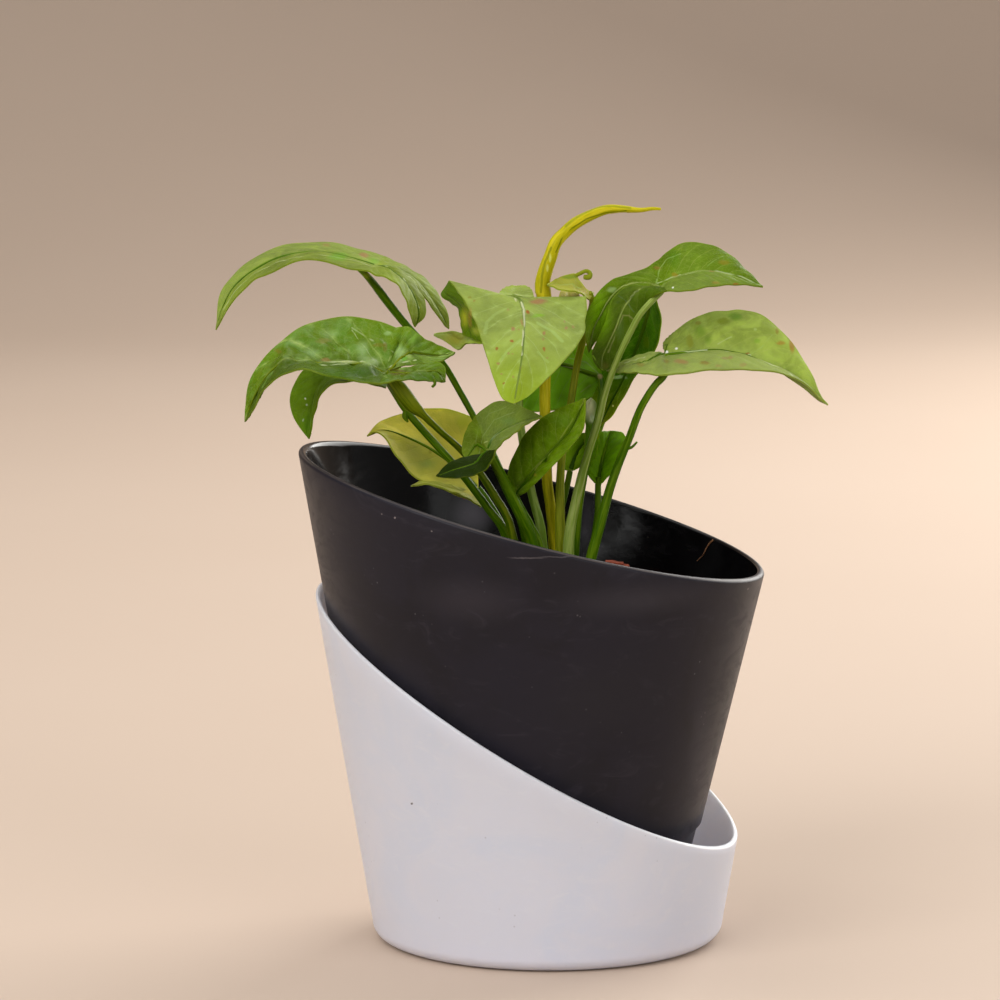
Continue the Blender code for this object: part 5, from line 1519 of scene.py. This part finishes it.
STYLES = {
    "leaf_upper_left": Style(
        "mid_leaf", (113, 129, 43), (126, 142, 53), veins=8.0, lateral=0.4, quilt=0.3, rib=0.15,
        haze=srgb(140, 156, 112),
        # The near half and the near lobe get a little painted shade.
        tones={(0, 0): (0.0, 0.1, 0.15, 0.05), (0, 1): (0.1, 0.0, 0.0, 0.0)},
        marks=((364, 255, 4.5, 2.6, RUST, 0.75), (339, 256.5, 11, 2.6, (84, 146, 22), 0.5),
               (374, 261, 6, 3.4, (110, 160, 40), 0.7), (326, 245, 4, 1.5, RUST, 0.4),
               (368, 274, 5, 5, (158, 166, 50), 0.6)),
        strokes=((((386, 266), (371, 266), (353, 260), (322, 255), (300, 257), (277, 262)), 0.8, CREAM,
                  0.5),
                 (((277, 262), (255, 273), (236, 290), (223, 310)), 0.7, CREAM, 0.35),
                 (((386, 266), (404, 279), (413, 294), (419, 308)), 0.8, CREAM, 0.6),
                 (((386, 266), (410, 277), (430, 298), (444, 320)), 0.7, CREAM, 0.45))),
    "leaf_left_front": Style(
        "mid_leaf", (90, 117, 6), (85, 110, 21), veins=6.0, mottle=0.55, quilt=0.8, crinkle=1.6,
        lateral=0.3, undulation=0.9, roughness=0.3, shine=0.14, patch=0.75, patch_tone=srgb(66, 116, 8),
        vein=srgb(160, 178, 96), midrib=1.0, rib=0.35, pale=srgb(112, 124, 16), dark=srgb(62, 88, 0),
        # The near half and the near lobe are darkened with painted shade.
        tones={(0, 0): (0.0, 0.55, 0.0, 0.0), (0, 1): (0.1, 0.35, 0.0, 0.0),
               (0, 2): (0.0, 0.0, 0.15, 0.0)},
        folds=((((386, 373), (392, 353), (403, 328)), 0.9, 1.5),
               (((352, 328), (372, 340), (393, 352)), 1.0, -0.9),
               (((343, 340), (351, 350), (354, 362)), 1.1, 1.1),
               (((306, 336), (322, 345), (338, 358)), 1.1, -0.8),
               (((292, 347), (306, 352), (318, 362)), 1.0, 1.0),
               (((382, 330), (388, 342), (392, 352)), 0.8, 0.8),
               (((388, 372), (400, 371), (413, 370)), 0.8, 1.1)),
        # Among the marks, the pale grey-green patches are painted sheen on the puffed parts, and the dark
        # line at the joint, the dark band below the midrib and the dark near lobe are painted shade.
        marks=((326, 360, 5, 1.2, BROWN, 0.6), (348, 361, 7, 1.1, BROWN, 0.7),
               (385, 347, 2.2, 4, BROWN, 0.35), (379, 345, 6, 1.6, BROWN, 0.35),
               (278, 351, 5, 1.6, BROWN, 0.35), (323, 341, 7, 2, (140, 130, 70), 0.4),
               (400, 353, 5, 8, (150, 180, 112), 0.7), (414, 338, 7, 7, (124, 164, 60), 0.6),
               (404, 358, 3.4, 2, (92, 154, 12), 0.7), (312, 352, 7, 4, (138, 168, 104), 0.55),
               (363, 350, 6, 9, (148, 176, 116), 0.6), (340, 361, 16, 3, (176, 192, 136), 0.7),
               (372, 362, 9, 4, (160, 182, 124), 0.65), (330, 333, 9, 4, (140, 168, 100), 0.4),
               (388, 333, 3.5, 2, (150, 180, 112), 0.5), (398, 371.5, 12, 1.5, (84, 66, 14), 0.75),
               (352, 373, 34, 5.5, (52, 88, 2), 0.75), (424, 379, 20, 6, (62, 94, 2), 0.7),
               (418, 348, 3.5, 16, (70, 100, 10), 0.5)),
        strokes=((((384, 374), (376, 367), (362, 361), (345, 364), (322, 365)), 0.9, CREAM, 0.5),
                 (((384, 373), (391, 366), (404, 362), (416, 360)), 0.8, CREAM, 0.6),
                 (((393, 352), (372, 340), (352, 328)), 0.9, CREAM, 0.3),
                 (((378, 366), (368, 352), (352, 330)), 0.6, CREAM, 0.35),
                 (((322, 365), (297, 358), (272, 372), (262, 388)), 0.8, (120, 150, 70), 0.5))),
    "leaf_left_hanging": Style(
        "dark_leaf", (84, 112, 14), (84, 112, 14), lateral=0.2, rib=0.7, vein=srgb(120, 146, 70),
        # The three white dots are painted glints of water drops.
        marks=((305, 399, 0.9, 0.9, DROP_GLINT, 0.6), (307, 405, 0.8, 1.0, DROP_GLINT, 0.4),
               (303, 420, 0.7, 1.3, DROP_GLINT, 0.35), (307, 425, 6, 12, (78, 122, 16), 0.6)),
        strokes=((((326, 377), (319, 386), (314, 400), (311, 420), (309, 434)), 0.7, (112, 142, 66), 0.7),)),
    "leaf_centre_front": Style(
        "pale_leaf", (132, 148, 67), (136, 129, 33), upward=(0.0, -1.0, 0.6), tip_share=0.75, lateral=0.25,
        quilt=0.22, midrib=0.7, rib=0.1, net=0.05, mottle=0.3, patch=0.15, vein=srgb(172, 192, 118),
        glow=0.25, painted_shade=srgb(66, 92, 0), haze=srgb(178, 172, 78), pale=srgb(132, 152, 70),
        dark=srgb(92, 118, 30),
        # The fold behind the left edge is darkened with painted shade.
        tones={(1, 0): (0.9, 0.9, 0.0, 0.0), (2, 0): (0.0, 0.0, 0.0, 0.0), (4, 0): (0.0, 0.0, 1.0, 1.0)},
        marks=((538, 301.5, 8, 1.9, RUST, 0.9), (528, 312, 2, 1.8, (142, 74, 30), 0.9),
               (513, 329, 2.2, 1.9, RUST, 0.85), (518.5, 330, 1.2, 1.0, RUST, 0.6),
               (522, 322, 1.4, 3.4, RUST, 0.6), (512, 341, 1.8, 1.2, (146, 84, 40), 0.85),
               (544, 333, 1.5, 2.0, RUST, 0.8), (543.5, 339, 1.0, 1.6, RUST, 0.6),
               (544, 349, 1.5, 2.0, (146, 90, 40), 0.8), (496.6, 348.5, 1.1, 1.3, (140, 80, 30), 0.8),
               (508.5, 353.5, 1.3, 1.5, RUST, 0.6), (512.5, 354, 1.0, 0.8, RUST, 0.6),
               (497.5, 363.5, 1.5, 1.1, RUST, 0.7), (501, 374, 1.2, 0.9, RUST, 0.6),
               (503.5, 383, 1.2, 0.9, (140, 80, 30), 0.7), (513.5, 377, 1.1, 1.2, RUST, 0.6),
               (566, 328, 1.8, 1.4, RUST, 0.7), (564.5, 321.5, 1.2, 1.0, RUST, 0.55),
               (573, 327, 1.5, 0.9, RUST, 0.5), (474, 301, 1.4, 1.1, (136, 104, 40), 0.6),
               (469.5, 297.5, 1.5, 1.0, OLIVE, 0.7), (508, 310, 1.5, 1.5, RUST, 0.45),
               (547, 358, 1.0, 1.0, RUST, 0.5), (521, 368, 1.0, 1.2, RUST, 0.4),
               (538, 315.5, 6.5, 1.5, (118, 162, 30), 0.75), (465, 317, 5, 10, (150, 152, 36), 0.85),
               (470, 318, 2, 9, (140, 108, 44), 0.5), (476, 331, 6, 4, (160, 166, 60), 0.6),
               (455, 339, 14, 7, (126, 122, 34), 0.8)),
        strokes=((((515, 298.5), (521, 302), (523.8, 309), (524.2, 322), (523.6, 334), (522.4, 345),
                   (521.4, 355)), 1.1, (200, 204, 160), 0.75),
                 (((524, 318), (538, 323), (552, 331), (562, 341)), 2.2, (160, 186, 110), 0.4),
                 (((505, 309), (494, 315), (487, 322), (485, 333)), 1.9, (160, 184, 106), 0.3),
                 (((520, 340), (508, 350), (500, 361)), 1.5, (158, 184, 104), 0.35),
                 (((524, 345), (538, 352), (548, 362)), 1.5, (158, 184, 104), 0.35),
                 (((515, 294), (523, 296), (533, 296)), 0.8, (186, 198, 130), 0.6))),
    "leaf_low_left": Style(
        # Its pale yellow colours are partly the leaf's own and partly painted light shining through it from
        # behind.
        "pale_leaf", (205, 195, 75), (205, 195, 75), lateral=0.15, net=0.05, glow=0.45, quilt=0.2, rib=0.4,
        patch_tone=srgb(160, 164, 66), mottle=0.05, haze=srgb(118, 134, 62),
        tones={(0, 0): (0.0, 0.0, 0.0, 0.3), (1, 0): (0.0, 0.0, 0.6, 0.6)},
        marks=((464, 423, 8, 6, (168, 172, 44), 0.7), (415, 452, 14, 12, (136, 142, 70), 0.5),
               (430, 452, 1.6, 2.0, OLIVE, 0.4), (437, 441, 1.4, 1.8, OLIVE, 0.35),
               (427, 464, 9, 5, (112, 142, 66), 0.5))),
    "leaf_middle_left": Style(
        "mid_leaf", (93, 112, 20), (73, 95, 13), lateral=0.12, veins=10.0, quilt=0.15, rib=0.15,
        mottle=0.05, haze=srgb(150, 166, 118), shine=0.05, roughness=0.34,
        # The near lobe is darkened almost to the painted shade colour.
        tones={(0, 0): (0.0, 0.0, 0.1, 0.15), (0, 2): (0.9, 0.9, 0.0, 0.0)}, painted_shade=srgb(8, 28, 0),
        marks=((494, 436, 7, 7, (148, 164, 116), 0.5), (478, 432, 5, 6, (120, 150, 36), 0.6),
               (508, 421, 10, 4, (100, 132, 66), 0.4)),
        strokes=((((484, 443), (493, 437), (507, 429), (524, 422), (545, 418)), 0.8, (156, 168, 96), 0.8),
                 (((479, 453), (483, 436), (494, 420), (514, 412)), 0.6, (136, 154, 96), 0.4),
                 (((474, 450), (478, 430), (489, 414), (506, 407)), 0.6, (136, 154, 96), 0.35),
                 (((488, 447), (500, 440), (514, 433)), 0.6, (150, 162, 112), 0.4))),
    "leaf_low_centre": Style(
        "mid_leaf", (91, 121, 1), (89, 121, 3), upward=(0.0, -1.0, 0.4), lateral=0.2, rib=0.55, shine=0.05,
        folds=((((516, 488), (524, 482), (532, 477), (539, 473)), 1.0, 0.9),
               (((541, 447), (541, 455), (545, 461)), 1.2, 0.8)),
        marks=((534, 475, 3.5, 1.2, (150, 140, 40), 0.6), (549, 440, 8, 9, (98, 136, 20), 0.4),
               # The dark mark at the foot of the blade is painted shade.
               (565, 421, 12, 8, (98, 136, 34), 0.45), (522, 488, 5, 4, CREASE_SHADE, 0.35)),
        strokes=((((517, 486), (535, 470), (549, 455), (562, 436), (573, 419), (583, 403)), 0.8,
                  (140, 156, 60), 0.8),
                 # The dark line along the crease is painted shade.
                 (((517, 491), (526, 481), (537, 474)), 0.7, CREASE_SHADE, 0.5))),
    "leaf_rolled": Style(
        "young_leaf", (170, 161, 20), (157, 154, 19), pale=srgb(200, 186, 34), dark=srgb(164, 158, 6),
        seam=1.0,
        # Both pale marks are painted highlights on the rolled spear.
        marks=((550, 258, 1.2, 4, (206, 214, 120), 0.5), (547.5, 268, 1.1, 3.4, (206, 214, 120), 0.5)),
        strokes=((((556, 252), (561, 240), (572, 228), (586, 219), (604, 213), (626, 211), (650, 211)),
                  0.8, (92, 104, 0), 0.75),
                 (((541, 292), (542, 276), (545, 262), (551, 248)), 1.3, (112, 118, 2), 0.7),
                 (((566, 226), (580, 215), (596, 208), (612, 206), (630, 208), (656, 211)), 1.4,
                  (118, 132, 24), 0.6),
                 (((553, 288), (554, 270), (559, 252), (570, 237)), 1.0, (122, 124, 4), 0.5))),
    "leaf_opening": Style(
        "young_leaf", (146, 146, 56), (146, 132, 56), patch=0.1, pale=srgb(150, 156, 40),
        dark=srgb(112, 124, 12), ripple=0.1, undulation=0.2, quilt=0.1, ridge=0.0, glow=0.35,
        marks=((571, 277, 9, 1.6, (104, 134, 30), 0.6), (585, 290, 5, 3, (172, 156, 90), 0.6))),
    "leaf_upper_right": Style(
        "mid_leaf", (86, 111, 13), (114, 141, 28), veins=8.0, lateral=0.25, quilt=0.3, rib=0.2,
        haze=srgb(122, 140, 62), painted_shade=srgb(28, 52, 2), pale=srgb(146, 160, 84), dark=srgb(106, 130, 40),
        # The near lobe is darkened with painted shade.
        tones={(0, 0): (0.0, 0.0, 0.0, 0.4), (0, 2): (0.45, 0.45, 0.1, 0.0)},
        folds=((((650, 268), (657, 276), (660, 286)), 1.0, 0.7),),
        marks=((724, 262.5, 5, 1.8, (128, 118, 30), 0.7), (657, 268, 3.5, 1.4, BROWN, 0.6),
               (675, 275, 3.2, 1.6, (140, 120, 26), 0.6), (716, 283, 3.4, 1.3, (140, 120, 50), 0.6),
               (712, 271, 3, 1.0, RUST, 0.45), (736, 284, 3, 0.9, (140, 80, 30), 0.6),
               # The white dot is the painted glint of a water drop.
               (672.5, 287.5, 0.9, 0.9, DROP_GLINT, 0.7), (637, 291.5, 2.2, 1.8, (50, 66, 30), 0.5),
               (618, 302, 2.0, 1.6, (50, 66, 30), 0.45), (612, 290, 4, 2.6, (160, 184, 120), 0.45),
               (674, 258, 7, 10, (78, 130, 10), 0.35), (632, 296, 10, 7, (74, 94, 54), 0.6),
               (620, 330, 4, 12, (82, 104, 50), 0.5), (606, 366, 4, 4, (120, 110, 50), 0.4),
               # The large bright green mark on the far lobe is painted light.
               (598, 316, 12, 24, (120, 168, 4), 0.75)),
        strokes=((((657, 283), (668, 279), (680, 275), (692, 273), (717, 271), (742, 277), (760, 285)),
                  0.8, CREAM, 0.45),
                 (((656, 283), (660, 268), (667, 259), (680, 254)), 0.9, (146, 172, 92), 0.5),
                 (((700, 272), (712, 262), (724, 256)), 0.7, (138, 168, 84), 0.35),
                 (((633, 319), (629, 315.5), (623, 315.5), (616.5, 325), (611, 338), (608.4, 352)), 0.9,
                  (140, 140, 84), 0.5),
                 (((634, 312), (626, 301), (619, 296)), 0.7, (92, 112, 70), 0.5),
                 (((591.7, 343), (593, 356), (603, 370.5)), 0.7, (130, 168, 44), 0.8))),
    "leaf_right": Style(
        "pale_leaf", (141, 159, 67), (130, 142, 62), veins=8.0, lateral=0.25, quilt=0.4, crinkle=0.4,
        rib=0.3, haze=srgb(124, 132, 84), mottle=0.2,
        # Both lobes get a little painted shade.
        tones={(0, 0): (0.0, 0.0, 0.0, 0.45), (0, 1): (0.15, 0.0, 0.0, 0.0),
               (0, 2): (0.12, 0.12, 0.3, 0.3)},
        folds=((((690, 322), (694, 333), (690, 348)), 1.3, 0.8),
               (((706, 318), (710, 330), (700, 347)), 1.3, 0.6)),
        marks=((681, 361.5, 7, 1.5, RUST, 0.7), (666.5, 361, 3, 1.2, BROWN, 0.5),
               (705, 363, 4.5, 1.3, BROWN, 0.55), (725, 358, 4, 1.4, (142, 124, 76), 0.6),
               (730.5, 357.5, 2, 2.0, RUST, 0.5), (747.5, 353.7, 1.8, 0.9, (140, 80, 40), 0.65),
               (781, 343, 4, 1.9, (152, 116, 44), 0.7), (777.5, 331, 1.5, 3, BROWN, 0.55),
               (723, 321, 6, 2.4, (116, 130, 20), 0.7), (698, 323, 3, 2, BROWN, 0.5),
               (690, 341, 3, 6, OLIVE, 0.5), (700, 330, 5, 8, (76, 118, 14), 0.5),
               (708, 340, 4, 5, (82, 124, 16), 0.45), (735, 316, 6, 3, (78, 132, 10), 0.5),
               (757, 341, 3, 2, (108, 150, 30), 0.5), (792, 345, 2.4, 7, (150, 84, 40), 0.6),
               (719, 366, 3, 1.2, RUST, 0.4), (743, 365, 3, 1.6, RUST, 0.4),
               # The two white dots are painted glints of water drops.
               (640, 364, 4, 1.4, BROWN, 0.4), (666.7, 352, 1.5, 1.3, DROP_GLINT, 0.95),
               (676, 349, 1.1, 1.1, DROP_GLINT, 0.8), (756, 329, 1.6, 1.4, (176, 196, 120), 0.4)),
        strokes=((((667, 353), (688, 351.7), (707, 350), (725, 351), (750, 355), (772, 365), (793, 376)),
                  0.8, CREAM, 0.7),
                 (((707, 350), (718, 344), (731, 337)), 0.9, (172, 184, 124), 0.55),
                 (((750, 355), (762, 347), (772, 335)), 0.8, (150, 174, 96), 0.35),
                 (((664, 353), (645, 357), (625, 363)), 0.8, CREAM, 0.5),
                 (((793, 376), (812, 391), (824, 401)), 0.8, (140, 150, 50), 0.5))),
    "leaf_low_right": Style(
        "dark_leaf", (91, 132, 0), (91, 132, 0), lateral=0.12, rib=0.6, net=0.04, shine=0.05,
        vein=srgb(104, 134, 30), painted_shade=srgb(60, 96, 6),
        # The standing half is darkened with painted shade.
        tones={(1, 0): (0.6, 0.0, 0.0, 0.0)},
        # The two near-white marks on the standing half are its pale underside, lightened further with
        # painted light; the white dot is the painted glint of a water drop.
        marks=((590, 406, 6, 14, (232, 232, 186), 1.0), (593, 419, 3, 4, (190, 202, 162), 0.9),
               (597, 436, 2.2, 2.6, (128, 144, 10), 0.8), (599.4, 424.6, 2.0, 1.3, DROP_GLINT, 0.95),
               (610, 441, 6, 4, (54, 92, 4), 0.4)),
        strokes=((((584, 468), (590, 462), (597, 456), (607, 446), (614, 438)), 0.7, (98, 124, 20), 0.7),)),
    "leaf_low_inner": Style(
        "dark_leaf", (122, 158, 14), (122, 158, 14), lateral=0.12, rib=0.4, net=0.04, shine=0.05),
    "leaf_right_hanging": Style(
        "dark_leaf", (70, 115, 0), (92, 124, 0), upward=(0.0, -1.0, 0.3), glow=0.45, lateral=0.18, rib=0.4,
        # The yellower lower half is painted light shining through the leaf.
        tip=srgb(122, 128, 0), tip_share=0.9,
        # The pale crescent is a painted highlight and the small cream dot is the painted glint of a water
        # drop.
        marks=((619, 377, 7, 1.6, (190, 202, 168), 0.75), (612.7, 406, 1.0, 1.0, (240, 226, 170), 0.85),
               (646, 342, 3, 6, (96, 112, 6), 0.5))),
    "leaf_centre_back": Style(
        "dark_leaf", (102, 148, 22), (102, 148, 22), upward=(0.0, -1.0, 0.3), lateral=0.3, rib=0.5,
        net=0.08, vein=srgb(132, 146, 96),
        marks=((600, 376.5, 2.6, 2.2, (150, 128, 84), 0.8), (583, 363, 8, 5, (82, 104, 52), 0.5),
               (588, 388, 6, 6, (88, 122, 20), 0.6)),
        strokes=((((599, 375), (585, 369), (572, 368), (560, 366)), 0.8, (158, 162, 122), 0.7),
                 (((598, 378), (590, 385), (581, 392)), 0.7, (142, 154, 92), 0.6),
                 (((598, 373), (586, 362), (570, 358)), 0.6, (140, 152, 110), 0.5))),
}


# Floor, light and camera

def make_floor():
    """Plain pale sweep: a level floor that curves up into a wall far behind."""
    profile = [(FLOOR_FRONT, FLOOR_HEIGHT), (FLOOR_BEND_START, FLOOR_HEIGHT)]
    for angle in range(5, 91, 5):
        turn = math.radians(angle)
        profile.append((FLOOR_BEND_START + FLOOR_BEND_RADIUS * math.sin(turn),
                        FLOOR_HEIGHT + FLOOR_BEND_RADIUS * (1.0 - math.cos(turn))))
    profile.append((FLOOR_BEND_START + FLOOR_BEND_RADIUS, WALL_TOP))
    mesh = bpy.data.meshes.new("studio_floor")
    places = [(x, y, z) for y, z in profile for x in (-FLOOR_HALF_WIDTH, FLOOR_HALF_WIDTH)]
    faces = [(2 * i, 2 * i + 1, 2 * i + 3, 2 * i + 2) for i in range(len(profile) - 1)]
    mesh.from_pydata(places, [], faces)
    mesh.shade_smooth()
    floor = new_object("studio_floor", mesh)
    look = Look("studio_floor")
    tone = look.mix(look.noise(look.place(), 3.0, 2.0), srgb(198, 177, 159), srgb(203, 183, 166))
    look.set(Base_Color=tone, Roughness=0.8)
    floor.data.materials.append(look.material)


def make_lights():
    """Large soft lamps turned to the plant, and an even faint light from all round."""
    for name, place, size, power, colour in LIGHTS:
        lamp = bpy.data.lights.new(name, "AREA")
        lamp.shape = "RECTANGLE"
        lamp.size, lamp.size_y = size
        lamp.energy = power
        lamp.color = colour
        item = new_object(name, lamp)
        item.location = place
        item.rotation_euler = (Vector(LIGHT_TARGET) - Vector(place)).to_track_quat("-Z", "Y").to_euler()
    world = bpy.data.worlds.new("studio")
    world.use_nodes = True
    sky = world.node_tree.nodes["Background"]
    sky.inputs["Color"].default_value = SKY_COLOUR
    sky.inputs["Strength"].default_value = SKY_STRENGTH
    bpy.context.scene.world = world


def make_camera():
    """Camera that sees the plant as the sight grid lays it out."""
    data = bpy.data.cameras.new("camera")
    data.sensor_width = CAMERA_SENSOR_MM
    data.lens = CAMERA_LENS_MM
    data.clip_start = CAMERA_NEAR
    data.clip_end = CAMERA_FAR
    camera = new_object("camera", data)
    camera.location = SIGHT_EYE
    camera.rotation_euler = (math.radians(90.0) - SIGHT_ELEVATION, 0.0, 0.0)
    bpy.context.scene.camera = camera


def main():
    bpy.context.scene.view_settings.view_transform = "Standard"
    make_vessel()
    make_root(make_pot())
    make_soil()
    make_clay_chip()
    for leaf in all_leaves():
        make_leaf(leaf)
    make_floor()
    make_lights()
    make_camera()


main()
